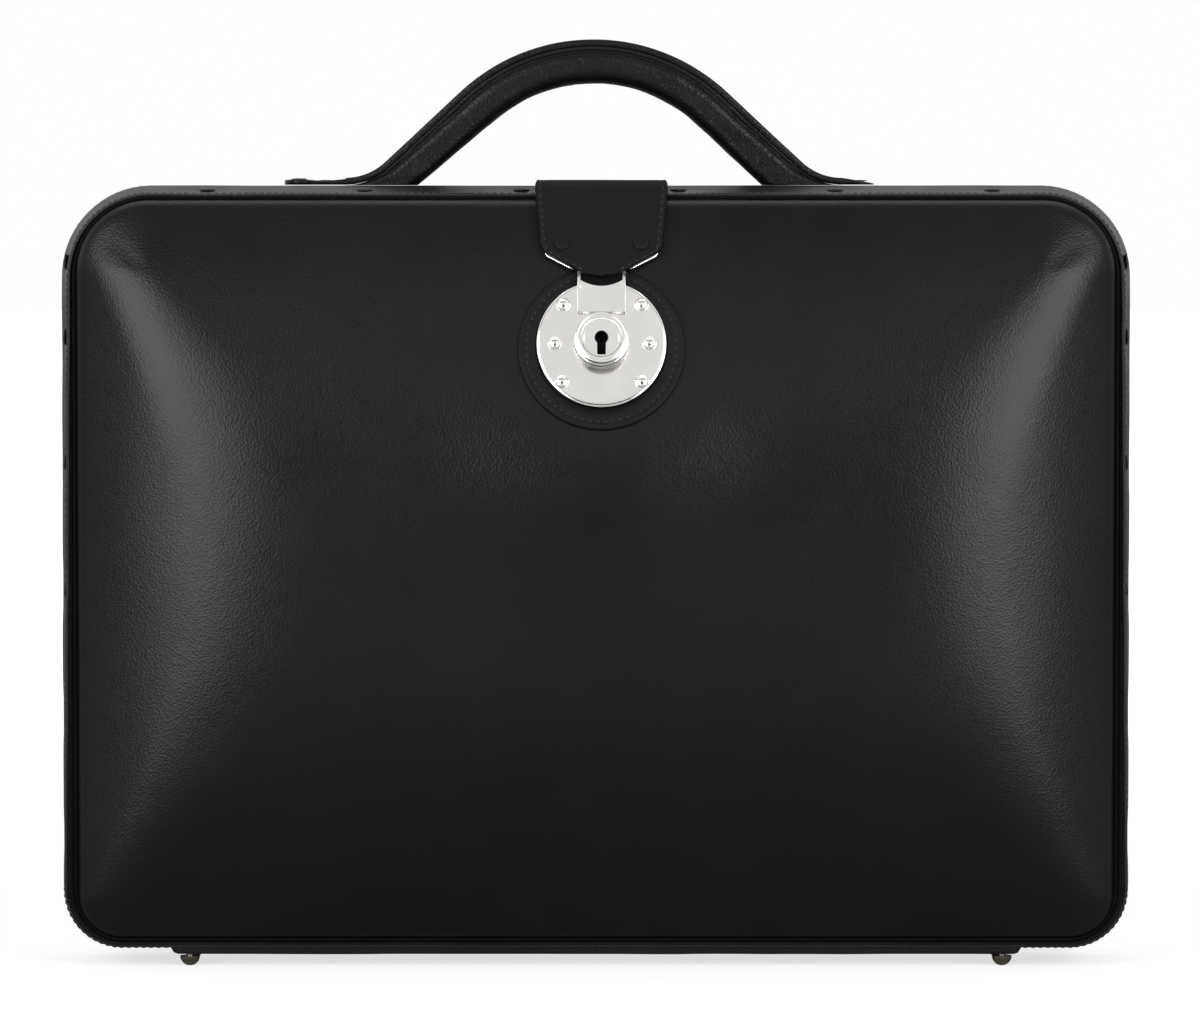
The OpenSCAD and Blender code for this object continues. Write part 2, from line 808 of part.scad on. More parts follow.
module hasp_rivet_places() {
    for (s = [-1, 1]) translate([s * hasp_rivet_x, hasp_rivet_y, 0]) children();
}

module hasp_rivet_bores() {
    at_flap() hasp_rivet_places() cylinder(r = hasp_rivet_r + run_gap, h = 12, center = true);
}

module tab_leather() {
    color(leather) difference() {
        union() {
            at_flap() linear_extrude(tab_t) flap_outline();
            lid_half() translate([lock_x - tab_w / 2, tab_under_v - fold_r, fold_f - fold_back])
                across(tab_w) fold_sector();
            lid_half() translate([lock_x - tab_w / 2, tab_under_v, tab_axis_f])
                cube([tab_w, tab_t, fold_f - fold_back - tab_axis_f]);
            lid_half() translate([lock_x - tab_w / 2, tab_axis_v, tab_axis_f]) rotate([0, 90, 0])
                cylinder(r = tab_t / 2, h = tab_w);
        }
        hasp_rivet_bores();
    }
}

// Bend between the level part and the flap.
module fold_sector() {
    reach = 3 * (fold_r + tab_t);
    intersection() {
        difference() {
            circle(fold_r + tab_t);
            circle(fold_r);
        }
        polygon([[0, 0], [reach, 0], [reach, reach], [reach * sin(flap_slope), reach * cos(flap_slope)]]);
    }
}

staple_w = 3;
staple_low = 13.4;
staple_high = 20.4;
staple_wall = 1.4;
staple_end = -3.3;
staple_floor = 1.8;

// Nickel plate under the flap, its tongue down the lock plate, and the staple behind it.
module hasp_plate() {
    color(nickel) difference() {
        union() {
            at_flap() translate([0, 0, -hasp_t - glue]) linear_extrude(hasp_t) polygon(mirrored([
                [-hasp_edge_w, hasp_top], [-hasp_edge_w, flap_slant_y + hasp_show],
                [-hasp_edge_w + hasp_show, flap_slant_y - hasp_show],
                [-tip_w, tip_high - hasp_show], [-tongue_w / 2, tip_high - 2 * hasp_show],
                [-tongue_w / 2, -0.6]
            ]));
            at_lock() translate([-tongue_w / 2, boss_r + 1, plate_top + glue + 0.2])
                cube([tongue_w, flap_v - boss_r - 0.6, hasp_t]);
            at_lock() staple();
        }
        hasp_rivet_bores();
    }
}

module staple() {
    top = plate_top + glue + 0.4;
    for (v = [staple_low, staple_high - staple_wall])
        translate([-staple_w / 2, v, staple_end]) cube([staple_w, staple_wall, top - staple_end]);
    translate([-staple_w / 2, staple_low, staple_end]) cube([staple_w, staple_high - staple_low, staple_floor]);
}

module hasp_rivets() {
    color(leather) at_flap() hasp_rivet_places() union() {
        translate([0, 0, tab_t + glue]) domed_head(3.3, 0.8);
        translate([0, 0, -hasp_t - glue]) cylinder(r = hasp_rivet_r, h = tab_t + hasp_t + 2 * glue + 0.2);
    }
}

// ---- Lock ----

lock_shank_r = 1.3;
lock_rivet_r = 2.8;
lock_rivets_at = [[-16.9, 16.7], [16.9, 16.7], [-19.8, 0], [19.8, 0], [-16.9, -16.7], [16.9, -16.7]];
case_half_w = 15.2;
case_low = -13;
case_round = 25.4;
case_back = -6;
case_wall = 0.8;
slip = 4;

module rivet_ring() {
    for (p = lock_rivets_at) translate([p.x, p.y, 0]) children();
}

module case_outline(grow) {
    intersection() {
        translate([-case_half_w - grow, case_low - grow]) square([2 * (case_half_w + grow), 50]);
        circle(case_round + grow);
    }
}

// The opening behind the plate, through backing and panel.
module lock_well(grow) {
    translate([0, 0, -20]) linear_extrude(40) case_outline(grow);
}

// Slot that the staple passes through, with room for the tab's arc.
module staple_slot() {
    translate([-staple_w / 2 - 0.4, staple_low - 0.4, -1])
        cube([staple_w + 0.8, staple_high - staple_low + slip + 0.4, plate_top + 2]);
}

module lock_backing() {
    drop = 3.2;
    color(edge_leather) at_lock() difference() {
        translate([0, -drop, glue]) cylinder(r = backing_r, h = backing_t - glue);
        translate([0, 0, 1]) lock_well(0.3);
        rivet_ring() cylinder(r = lock_shank_r + run_gap, h = 20, center = true);
    }
}

module lock_plate() {
    color(nickel) at_lock() difference() {
        translate([0, 0, plate_w]) cylinder(r = plate_r, h = plate_t + glue);
        translate([0, 0, -5]) cylinder(r = plug_r + 0.3, h = 20);
        translate([0, 0, plate_w]) staple_slot();
        rivet_ring() cylinder(r = lock_shank_r + run_gap, h = 20, center = true);
    }
}

module lock_rivets() {
    color(nickel) at_lock() rivet_ring() union() {
        translate([0, 0, plate_top + glue]) domed_head(lock_rivet_r, 1.5);
        translate([0, 0, -panel_t - 1.2]) cylinder(r = lock_shank_r, h = plate_top + panel_t + 1.6);
        translate([0, 0, -panel_t - 1.2]) cylinder(r = 1.6, h = 0.9);
    }
}

flange_r = plug_r + 0.8;
flange_t = 1.4;

module lock_boss() {
    bottom = plate_top + glue;
    color(nickel) at_lock() difference() {
        union() {
            translate([0, 0, bottom]) cylinder(r = boss_r, h = 4.5);
            translate([0, 0, bottom]) cylinder(r = boss_r - boss_step, h = boss_h - glue);
        }
        cylinder(r = plug_r + run_gap, h = 40);
        cylinder(r = flange_r + 0.1, h = bottom + flange_t + 0.2);
    }
}

tail_r = 2;
crank = 6;
crank_r = 1.2;
crank_start = 45;
bolt_w0 = -1.1;
bolt_w1 = 1.3;

// The plug turns in the boss. Its tail bears in the case, and its crank pin drives the bolt.
module lock_plug() {
    color(nickel) at_lock() union() {
        difference() {
            union() {
                translate([0, 0, plate_w]) cylinder(r = plug_r, h = boss_top - plate_w + 0.2);
                translate([0, 0, plate_top + 2 * glue]) cylinder(r = flange_r, h = flange_t);
            }
            translate([0, 0, boss_top - key_depth + 0.2]) cylinder(r = key_r, h = 20);
            translate([-key_slot / 2, -7.1, boss_top - key_depth + 0.2]) cube([key_slot, 7.1, 20]);
            translate([0, 0, boss_top - 0.1]) difference() {
                cylinder(r = 7.7, h = 2);
                translate([0, 0, -1]) cylinder(r = 7.2, h = 4);
            }
        }
        translate([0, 0, case_back - 0.5]) cylinder(r = tail_r, h = plate_w - case_back + 1);
        rotate([0, 0, crank_start]) translate([0, crank, bolt_w0 - 0.5])
            cylinder(r = crank_r, h = plate_w - bolt_w0 + 1);
    }
}

module lock_case() {
    color(steel) at_lock() difference() {
        translate([0, 0, case_back]) linear_extrude(plate_w - glue - case_back) case_outline(0);
        translate([0, 0, case_back + case_wall]) linear_extrude(20) case_outline(-case_wall);
        translate([0, 0, case_back - 1]) cylinder(r = tail_r + run_gap, h = 4);
    }
}

bolt_x0 = -14.2;
bolt_x1 = -2.3;
bolt_low = 15.2;
bolt_high = 18.6;

// Sliding bolt: a bar for the staple's eye, and a yoke that the crank pin moves.
module lock_bolt() {
    yoke_x = -crank * sin(crank_start);
    slot = 2 * (crank_r + 0.4);
    color(steel) at_lock() translate([0, 0, bolt_w0]) linear_extrude(bolt_w1 - bolt_w0) difference() {
        union() {
            translate([bolt_x0, bolt_low]) square([bolt_x1 - bolt_x0, bolt_high - bolt_low]);
            translate([bolt_x0, 2.5]) square([3.8, bolt_high - 2.5]);
            translate([bolt_x0, 2.5]) square([yoke_x + 3.5 - bolt_x0, 7.5]);
        }
        translate([yoke_x - slot / 2, 2]) square([slot, 5.8]);
    }
}

rear_frame();
rear_band();
rear_piping();
rear_panel();
rear_panel_lining();
rear_side_lining();
rear_rivets();
rear_lip();
rear_hinge_leaf();
hinge_pin();
rear_hinge_screws();
rear_base_strip();
rear_feet();
handle_grip();
handle_core();
handle_strap();
handle_rivets();
handle_washers();
tab_anchor();
tab_anchor_rivets();
lid_frame();
lid_band();
lid_piping();
lid_panel();
lid_panel_lining();
lid_side_lining();
lid_rivets();
lid_hinge_leaf();
lid_hinge_screws();
lid_base_strip();
lid_feet();
lock_backing();
lock_plate();
lock_rivets();
lock_boss();
lock_case();
tab_leather();
hasp_plate();
hasp_rivets();
lock_plug();
lock_bolt();
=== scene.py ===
import functools
import json
import math

import bmesh
import bpy
from bpy.props import FloatProperty, FloatVectorProperty, PointerProperty
from mathutils import Matrix, Vector, noise


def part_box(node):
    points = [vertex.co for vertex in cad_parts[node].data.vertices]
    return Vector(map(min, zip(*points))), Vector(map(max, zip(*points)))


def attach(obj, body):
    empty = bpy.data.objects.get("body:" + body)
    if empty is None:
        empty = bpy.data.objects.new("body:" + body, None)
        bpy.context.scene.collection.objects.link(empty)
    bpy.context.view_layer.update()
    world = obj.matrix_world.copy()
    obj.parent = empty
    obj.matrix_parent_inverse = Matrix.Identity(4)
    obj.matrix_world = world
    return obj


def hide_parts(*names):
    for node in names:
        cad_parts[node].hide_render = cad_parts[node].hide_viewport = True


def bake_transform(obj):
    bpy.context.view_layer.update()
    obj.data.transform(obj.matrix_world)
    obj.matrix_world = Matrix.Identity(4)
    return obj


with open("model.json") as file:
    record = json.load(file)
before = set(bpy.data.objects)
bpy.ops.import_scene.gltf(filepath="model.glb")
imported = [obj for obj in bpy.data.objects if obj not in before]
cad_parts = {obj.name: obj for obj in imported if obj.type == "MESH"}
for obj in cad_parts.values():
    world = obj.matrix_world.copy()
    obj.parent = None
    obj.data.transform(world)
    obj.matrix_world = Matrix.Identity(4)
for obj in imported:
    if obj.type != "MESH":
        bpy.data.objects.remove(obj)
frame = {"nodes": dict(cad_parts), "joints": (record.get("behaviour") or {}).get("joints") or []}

bl_info = {
    "name": "Leather briefcase",
    "version": (1, 0, 0),
    "blender": (4, 5, 0),
    "location": "3D View > Sidebar > Briefcase",
    "description": "Dresses a framed briefcase in moulded leather, stitching and nickel",
    "category": "Object",
}

MM = 0.001
TAU = 2 * math.pi

# Places and sizes that the frame gives.
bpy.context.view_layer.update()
LID_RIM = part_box("lid_band")
REAR_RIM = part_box("rear_band")
LID_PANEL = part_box("lid_panel")
SPLIT_Y = (LID_RIM[1].y + REAR_RIM[0].y) / 2
MID_Z = (LID_RIM[0].z + LID_RIM[1].z) / 2
RIM_W = LID_RIM[1].x - LID_RIM[0].x
RIM_H = LID_RIM[1].z - LID_RIM[0].z
LID_DEPTH = SPLIT_Y - LID_RIM[0].y
REAR_DEPTH = REAR_RIM[1].y - SPLIT_Y
HALF_BODY = {"lid": "lid", "rear": "case_body"}
HALF_DEPTH = {"lid": LID_DEPTH, "rear": REAR_DEPTH}
PANEL_A = (LID_PANEL[1].x - LID_PANEL[0].x) / 2
PANEL_B = (LID_PANEL[1].z - LID_PANEL[0].z) / 2 + 1.8 * MM
JOINTS = {j["name"]: j for j in frame["joints"]}
LOCK_AT = Vector(JOINTS["plug_turn"]["pos_m"])
LOCK_NORMAL = -Vector(JOINTS["plug_turn"]["axis"])
LOCK_TILT = math.atan2(LOCK_NORMAL.z, -LOCK_NORMAL.y)
HANDLE_X = -1 * MM
CRISP_FROM = math.radians(12)


def length(name, description, mm):
    return FloatProperty(name=name, description=description, default=mm * MM, unit="LENGTH")


def angle(name, description, degrees):
    return FloatProperty(name=name, description=description, default=math.radians(degrees), unit="ROTATION")


def power(name, description, watts):
    return FloatProperty(name=name, description=description, default=watts, unit="POWER")


def tint(name, description, colour):
    return FloatVectorProperty(name=name, description=description, default=colour, subtype="COLOR")


class PanelSettings(bpy.types.PropertyGroup):
    """Shape of the moulded panels"""
    dome: length("Dome height", "Rise of the dome", 31.8)
    run_x: length("Side run", "Run from the sides", 95)
    run_z: length("Top run", "Run from top and bottom", 150)
    hip: length("Hip softness", "Rounding of the diagonals", 10)
    roll: length("Edge roll", "Radius of the rolled edge", 4)
    leather: length("Leather", "Thickness of the leather", 2.2)
    lining: length("Lining", "Thickness of the lining", 1)
    patch: length("Lock patch", "Radius of the flat patch", 24)
    blend: length("Patch blend", "Where the patch ends", 92)


class RimSettings(bpy.types.PropertyGroup):
    """Shape of the rims"""
    radius: length("Upper corners", "Radius of the rim", 38)
    low_radius: length("Lower corners", "Radius of the rim", 26)
    taper: length("Taper", "Draw at the top", 3.6)
    low_taper: length("Low taper", "Draw at the bottom", 1.8)
    band: length("Band", "Thickness of the band", 1.8)
    piping: length("Piping", "Radius of the piping", 0.8)
    dent: length("Rivet dent", "Pull of a rivet", 0.75)
    rivet: length("Rivet", "Radius of a rim rivet", 3.4)


class StitchSettings(bpy.types.PropertyGroup):
    """Size of the stitching"""
    pitch: length("Pitch", "From stitch to stitch", 3.1)
    length: length("Length", "Length of a stitch", 2.2)
    width: length("Width", "Thickness of the thread", 0.55)


class HandleSettings(bpy.types.PropertyGroup):
    """Shape of the handle"""
    crown: length("Crown radius", "Outer radius", 81.5)
    slope: angle("Leg slope", "Slope of the legs", 43)
    grip_h: length("Grip height", "Height of the roll", 15.5)
    grip_w: length("Grip width", "Width of the roll", 21)
    inner_left: angle("Left leg", "Inner slope", 40)
    inner_right: angle("Right leg", "Inner slope", 43)
    seam: length("Seam", "Stitched layer under the strap", 2.3)
    strap: length("Strap", "Thickness of the strap", 2.9)
    strap_w: length("Strap width", "Width of the strap", 19)
    flare: length("Flare", "Bend at the foot", 25)


class TabSettings(bpy.types.PropertyGroup):
    """Shape of the tab"""
    width: length("Width", "Width at the top", 54.6)
    low_w: length("Low width", "Width above the point", 50.8)
    thick: length("Thickness", "Thickness of the tab", 3)
    slope: angle("Flap slope", "Lean of the flap", 24)
    fold: length("Fold", "Inner radius of the fold", 3)
    corner_y: length("Corner top", "Corner starts above the foot", 17.5)
    slant_y: length("Slant top", "Slant starts above the foot", 11.9)
    corner_w: length("Corner", "Corner draws in by", 2.2)
    tip_w: length("Tip", "Half width of the tip", 12.6)
    tip_r: length("Tip radius", "Radius of the tip", 20.2)
    tip_low: length("Tip height", "Tip above the foot", 1.5)


class LockSettings(bpy.types.PropertyGroup):
    """Shape of the hasp and the keyhole"""
    hole: length("Keyhole", "Radius of the keyhole", 2.7)
    slot: length("Slot", "Width of the slot", 3.4)
    slot_low: length("Slot reach", "Slot below the middle", 7.1)
    tongue: length("Tongue", "Width of the tongue", 19.6)
    horn: length("Horn", "Width beside the hollow", 0.8)
    hollow_r: length("Hollow", "Radius of the hollow", 16)
    hollow_y: length("Hollow depth", "Bottom of the hollow", -3.3)
    staple_w: length("Staple", "Width of the staple", 3)
    staple_low: length("Staple foot", "Lower end", 13.4)
    staple_high: length("Staple head", "Upper end", 20.4)
    staple_end: length("Staple reach", "Depth it enters", -3.3)
    staple_floor: length("Staple bar", "Thickness of its bar", 1.8)
    cover: length("Cover", "Half width", 23.6)
    cover_low: length("Cover foot", "Middle's lower edge", 4.2)
    cover_top: length("Cover head", "Upper edge", 24)
    cover_show: length("Cover show", "Seen under the slant", 1.6)
    cover_rivet_x: length("Rivet across", "Off the middle", 16.2)
    cover_rivet_y: length("Rivet height", "Above the foot", 14.5)


class FinishSettings(bpy.types.PropertyGroup):
    """Colours of the finishes"""
    panel: tint("Panel", "Leather", (0.0020, 0.0019, 0.0020))
    rim: tint("Rim", "Rim leather", (0.0042, 0.0036, 0.0034))
    handle: tint("Handle", "Leather", (0.0026, 0.0021, 0.0019))
    tab: tint("Tab", "Tab leather", (0.0026, 0.0024, 0.0026))
    thread: tint("Thread", "Stitching", (0.014, 0.0125, 0.012))
    suede: tint("Suede", "Lining", (0.21, 0.145, 0.09))
    nickel: tint("Nickel", "Nickel", (0.96, 0.945, 0.92))
    steel: tint("Steel", "Steel", (0.42, 0.42, 0.43))
    aged: tint("Aged metal", "Feet", (0.16, 0.145, 0.11))
    cord: tint("Core", "Handle's core", (0.45, 0.38, 0.28))
    wood: tint("Wood", "Hoops", (0.42, 0.27, 0.14))


class StageSettings(bpy.types.PropertyGroup):
    """Light and floor"""
    distance: length("Camera distance", "From the case", 2778)
    field: length("Field", "Width of view at the case", 500)
    aim: length("Aim", "Height of the picture's middle", 190)
    tilt: angle("Tilt", "Looking down by", 3)
    side_power: power("Side lamps", "Power of each side lamp", 40)
    top_power: power("Top lamp", "Power of the top lamp", 6.5)
    front_power: power("Front lamp", "Power of the front lamp", 6.4)
    floor: tint("Floor", "Floor", (0.36, 0.36, 0.36))


# ---- Mesh helpers ----


def finish_piece(bm, name, material, smooth=True):
    """Turns a bmesh into a named object with its normals outwards."""
    bmesh.ops.recalc_face_normals(bm, faces=bm.faces[:])
    mesh = bpy.data.meshes.new(name)
    bm.to_mesh(mesh)
    bm.free()
    for poly in mesh.polygons:
        poly.use_smooth = smooth
    mesh.materials.append(material)
    piece = bpy.data.objects.new(name, mesh)
    bpy.context.scene.collection.objects.link(piece)
    return piece


def settle(piece, slot, body, *nodes):
    """Says which nodes a piece replaces and the body that it moves with; slot is not used."""
    if nodes:
        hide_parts(*nodes)
    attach(piece, body)


def modify(piece, name, kind, **values):
    """Adds a modifier with its values."""
    made = piece.modifiers.new(name, kind)
    for key, value in values.items():
        setattr(made, key, value)


def round_head(bm, matrix, radius, height, around=32, up=12):
    """Adds the flattened ball of a rivet's head."""
    size = Matrix.Diagonal((radius, radius, height, 1))
    bmesh.ops.create_uvsphere(bm, u_segments=around, v_segments=up, radius=1, matrix=matrix @ size)


def draped_grid(nu, nv, place):
    """A grid whose corners are carried to place(u, v), u and v from 0 to 1, with touching edges joined."""
    bm = bmesh.new()
    bmesh.ops.create_grid(bm, x_segments=nu, y_segments=nv, size=1)
    for vert in bm.verts:
        vert.co = place((vert.co.x + 1) / 2, (vert.co.y + 1) / 2)
    bmesh.ops.remove_doubles(bm, verts=bm.verts[:], dist=2e-6)
    return bm


def swept_tube(nu, nv, place):
    """A tube along u with a closed section along v; open ends are filled."""
    bm = draped_grid(nu, nv, place)
    rims = [e for e in bm.edges if e.is_boundary]
    if rims:
        bmesh.ops.holes_fill(bm, edges=rims, sides=0)
    return bm


def turned(name, outline, matrix, material, steps=96):
    """An outline of (radius, height) points spun round the local Z axis."""
    bm = bmesh.new()
    verts = [bm.verts.new((r, 0, h)) for r, h in outline]
    edges = [bm.edges.new(pair) for pair in zip(verts, verts[1:])]
    bmesh.ops.spin(
        bm, geom=verts + edges, cent=(0, 0, 0), axis=(0, 0, 1), angle=TAU, steps=steps, use_merge=True
    )
    bmesh.ops.remove_doubles(bm, verts=bm.verts[:], dist=1e-6)
    bmesh.ops.transform(bm, matrix=matrix, verts=bm.verts[:])
    return finish_piece(bm, name, material)


def round_rect(a, b, r, s, low_r=None):
    """Point and outward normal of a rounded rectangle, s from 0 to 1, clockwise from the top's middle."""
    low_r = r if low_r is None else low_r
    quarter = math.pi / 2
    side = 2 * b - r - low_r
    runs = [(a - r, 0), (quarter * r, r), (side, 0), (quarter * low_r, low_r), (2 * (a - low_r), 0),
            (quarter * low_r, low_r), (side, 0), (quarter * r, r), (a - r, 0)]
    d = (s % 1) * sum(run for run, _ in runs)
    x, y, heading = 0.0, b, 0.0
    for run, bend in runs:
        part = min(d, run)
        if bend:
            new = heading - part / bend
            x += bend * (math.sin(heading) - math.sin(new))
            y += bend * (math.cos(new) - math.cos(heading))
            heading = new
        else:
            x += part * math.cos(heading)
            y += part * math.sin(heading)
        d -= part
        if d <= 1e-12:
            break
    return x, y, -math.sin(heading), math.cos(heading)


def rim_point(u):
    """Point and outward normal on the rims' outline, u from 0 to 1."""
    rim = bpy.context.scene.case_rim
    return round_rect(RIM_W / 2, RIM_H / 2, rim.radius, u, rim.low_radius)


def rim_taper(up, side):
    """Draw of the rim towards its panel: less at the bottom, more at the sides."""
    rim = bpy.context.scene.case_rim
    share = min(max(0.5 + up / RIM_H, 0.0), 1.0)
    return rim.low_taper + (rim.taper - rim.low_taper) * share + 0.9 * MM * side * share


def panel_radius(up):
    """Corner radius of the panel's outline, above or below its middle."""
    rim = bpy.context.scene.case_rim
    return (rim.radius if up > 0 else rim.low_radius) - (RIM_W / 2 - PANEL_A)


def trail(x, y, heading, runs):
    """A path of straight runs (run, 0) and bends (run, turn); returns at(s) and the path's length."""
    marks = []
    total = 0.0
    for run, turn in runs:
        marks.append((total, x, y, heading, run, turn))
        if turn:
            r = run / turn
            x += r * (math.sin(heading + turn) - math.sin(heading))
            y -= r * (math.cos(heading + turn) - math.cos(heading))
            heading += turn
        else:
            x += run * math.cos(heading)
            y += run * math.sin(heading)
        total += run

    def at(s):
        start, px, py, h, run, turn = [m for m in marks if m[0] <= max(s, 0)][-1]
        d = s - start
        if turn:
            r = run / turn
            now = h + d / r
            return px + r * (math.sin(now) - math.sin(h)), py - r * (math.cos(now) - math.cos(h)), now
        return px + d * math.cos(h), py + d * math.sin(h), h

    return at, total


def in_half(half, x, up, deep):
    """A point of a half: x across, up from the rim's middle, deep away from the split."""
    y = SPLIT_Y - deep if half == "lid" else SPLIT_Y + deep
    return Vector((x, y, MID_Z + up))


def lock_matrix(dx=0.0, dv=0.0, dw=0.0):
    """Frame on the lid's flat patch: x across, y up the slope, z out of the panel."""
    turn = Matrix.Rotation(math.pi / 2 - LOCK_TILT, 4, "X")
    return Matrix.Translation(LOCK_AT) @ turn @ Matrix.Translation((dx, dv, dw))


def stitch_row(bm, places, long, width):
    """Adds one thread stitch per (point, along, normal)."""
    for point, along, normal in places:
        side = normal.cross(along).normalized()
        turn = Matrix((along, side, normal)).transposed().to_4x4()
        size = Matrix.Diagonal((long / 2, width / 2, width / 2, 1))
        bmesh.ops.create_icosphere(
            bm, subdivisions=1, radius=1, matrix=Matrix.Translation(point) @ turn @ size
        )


# ---- Finishes ----


def sockets(group, ins, outs):
    for name, kind, value in ins:
        made = group.interface.new_socket(name=name, in_out="INPUT", socket_type=kind)
        made.default_value = value
    for name, kind in outs:
        group.interface.new_socket(name=name, in_out="OUTPUT", socket_type=kind)


def noise_node(nodes, scale, detail=4.0, rough=0.55):
    made = nodes.new("ShaderNodeTexNoise")
    made.inputs["Scale"].default_value = scale
    made.inputs["Detail"].default_value = detail
    made.inputs["Roughness"].default_value = rough
    return made


def math_node(group, kind, a, b, clamp=False):
    """A math node fed by sockets or numbers."""
    made = group.nodes.new("ShaderNodeMath")
    made.operation = kind
    made.use_clamp = clamp
    for socket, value in zip(made.inputs, (a, b)):
        if isinstance(value, (int, float)):
            socket.default_value = value
        else:
            group.links.new(value, socket)
    return made.outputs[0]


def grain_group():
    """Leather grain: pebbles, fine pores, creases, and slow changes of tone and polish."""
    name = "leather_grain"
    if name in bpy.data.node_groups:
        return bpy.data.node_groups[name]
    g = bpy.data.node_groups.new(name, "ShaderNodeTree")
    sockets(
        g,
        [("Pebble Scale", "NodeSocketFloat", 700.0), ("Crease Scale", "NodeSocketFloat", 45.0),
         ("Crease Amount", "NodeSocketFloat", 0.3), ("Stretch", "NodeSocketVector", (1.0, 1.0, 1.0))],
        [("Height", "NodeSocketFloat"), ("Tone", "NodeSocketFloat"), ("Polish", "NodeSocketFloat")],
    )
    n, link = g.nodes, g.links.new
    gin, gout = n.new("NodeGroupInput"), n.new("NodeGroupOutput")
    coord = n.new("ShaderNodeTexCoord")
    stretch = n.new("ShaderNodeVectorMath")
    stretch.operation = "MULTIPLY"
    link(coord.outputs["Object"], stretch.inputs[0])
    link(gin.outputs["Stretch"], stretch.inputs[1])
    pebble = n.new("ShaderNodeTexVoronoi")
    pebble.feature = "SMOOTH_F1"
    pebble.inputs["Smoothness"].default_value = 0.35
    link(coord.outputs["Object"], pebble.inputs["Vector"])
    link(gin.outputs["Pebble Scale"], pebble.inputs["Scale"])
    pores = noise_node(n, 2600.0, 2.0)
    link(coord.outputs["Object"], pores.inputs["Vector"])
    crease = noise_node(n, 45.0, 5.0, 0.6)
    link(stretch.outputs[0], crease.inputs["Vector"])
    link(gin.outputs["Crease Scale"], crease.inputs["Scale"])
    folds = math_node(g, "ABSOLUTE", math_node(g, "SUBTRACT", crease.outputs["Fac"], 0.5), 0)
    narrow = math_node(g, "SUBTRACT", 1.0, math_node(g, "MULTIPLY", folds, 6.0), True)
    lines = math_node(g, "POWER", narrow, 3.0)
    creased = math_node(g, "MULTIPLY", lines, gin.outputs["Crease Amount"])
    small = math_node(g, "MULTIPLY", pores.outputs["Fac"], 0.35)
    height = math_node(g, "SUBTRACT", math_node(g, "ADD", pebble.outputs["Distance"], small), creased)
    slow = noise_node(n, 14.0, 3.0)
    link(coord.outputs["Object"], slow.inputs["Vector"])
    # Painted shade: the tone is darker along the creases.
    tone = math_node(g, "SUBTRACT", slow.outputs["Fac"], math_node(g, "MULTIPLY", creased, 0.4), True)
    rub = noise_node(n, 60.0, 6.0, 0.7)
    link(coord.outputs["Object"], rub.inputs["Vector"])
    polish = math_node(g, "ADD", math_node(g, "MULTIPLY", rub.outputs["Fac"], 0.6),
                       math_node(g, "MULTIPLY", slow.outputs["Fac"], 0.4))
    link(height, gout.inputs["Height"])
    link(tone, gout.inputs["Tone"])
    link(polish, gout.inputs["Polish"])
    return g


def new_material(name):
    mat = bpy.data.materials.new(name)
    mat.use_nodes = True
    return mat, mat.node_tree.nodes, mat.node_tree.links, mat.node_tree.nodes["Principled BSDF"]


def ranged(nodes, links, source, low, high, target):
    """Carries a 0 to 1 value to low..high on a socket."""
    span = nodes.new("ShaderNodeMapRange")
    span.inputs["From Min"].default_value = 0.25
    span.inputs["From Max"].default_value = 0.75
    span.inputs["To Min"].default_value = low
    span.inputs["To Max"].default_value = high
    links.new(source, span.inputs["Value"])
    links.new(span.outputs["Result"], target)
    return span


def two_tones(nodes, links, colour, low, high, source, shader):
    """Lets the base colour vary between two shares of a colour."""
    mix = nodes.new("ShaderNodeMix")
    mix.data_type = "RGBA"
    mix.inputs["A"].default_value = (*[c * low for c in colour], 1)
    mix.inputs["B"].default_value = (*[c * high for c in colour], 1)
    links.new(source, mix.inputs["Factor"])
    links.new(mix.outputs["Result"], shader.inputs["Base Color"])


def relief(nodes, links, source, strength, distance, shader):
    """Bumps the surface by a height."""
    bump = nodes.new("ShaderNodeBump")
    bump.inputs["Strength"].default_value = strength
    bump.inputs["Distance"].default_value = distance
    links.new(source, bump.inputs["Height"])
    links.new(bump.outputs["Normal"], shader.inputs["Normal"])


def leather(
    name, colour, rough, pebble=700.0, crease=(45.0, 0.3), stretch=(1, 1, 1), depth=0.05, level=0.35
):
    """Dyed leather: dark tone with slow variation, grain in the bump, and uneven polish."""
    mat, n, l, shader = new_material(name)
    grain = n.new("ShaderNodeGroup")
    grain.node_tree = grain_group()
    grain.inputs["Pebble Scale"].default_value = pebble
    grain.inputs["Crease Scale"].default_value = crease[0]
    grain.inputs["Crease Amount"].default_value = crease[1]
    grain.inputs["Stretch"].default_value = stretch
    two_tones(n, l, colour, 0.75, 1.6, grain.outputs["Tone"], shader)
    ranged(n, l, grain.outputs["Polish"], rough[0], rough[1], shader.inputs["Roughness"])
    relief(n, l, grain.outputs["Height"], 1.0, depth * MM, shader)
    shader.inputs["Specular IOR Level"].default_value = level
    return mat


def smudge_group():
    """Fine smudges and hairlines on bare metal."""
    name = "metal_smudge"
    if name in bpy.data.node_groups:
        return bpy.data.node_groups[name]
    g = bpy.data.node_groups.new(name, "ShaderNodeTree")
    outs = [("Value", "NodeSocketFloat"), ("Height", "NodeSocketFloat")]
    sockets(g, [("Scale", "NodeSocketFloat", 90.0)], outs)
    n, link = g.nodes, g.links.new
    gin, gout = n.new("NodeGroupInput"), n.new("NodeGroupOutput")
    coord = n.new("ShaderNodeTexCoord")
    soft = noise_node(n, 90.0, 5.0, 0.65)
    link(coord.outputs["Object"], soft.inputs["Vector"])
    link(gin.outputs["Scale"], soft.inputs["Scale"])
    fine = noise_node(n, 1500.0, 2.0)
    link(coord.outputs["Object"], fine.inputs["Vector"])
    link(soft.outputs["Fac"], gout.inputs["Value"])
    link(fine.outputs["Fac"], gout.inputs["Height"])
    return g


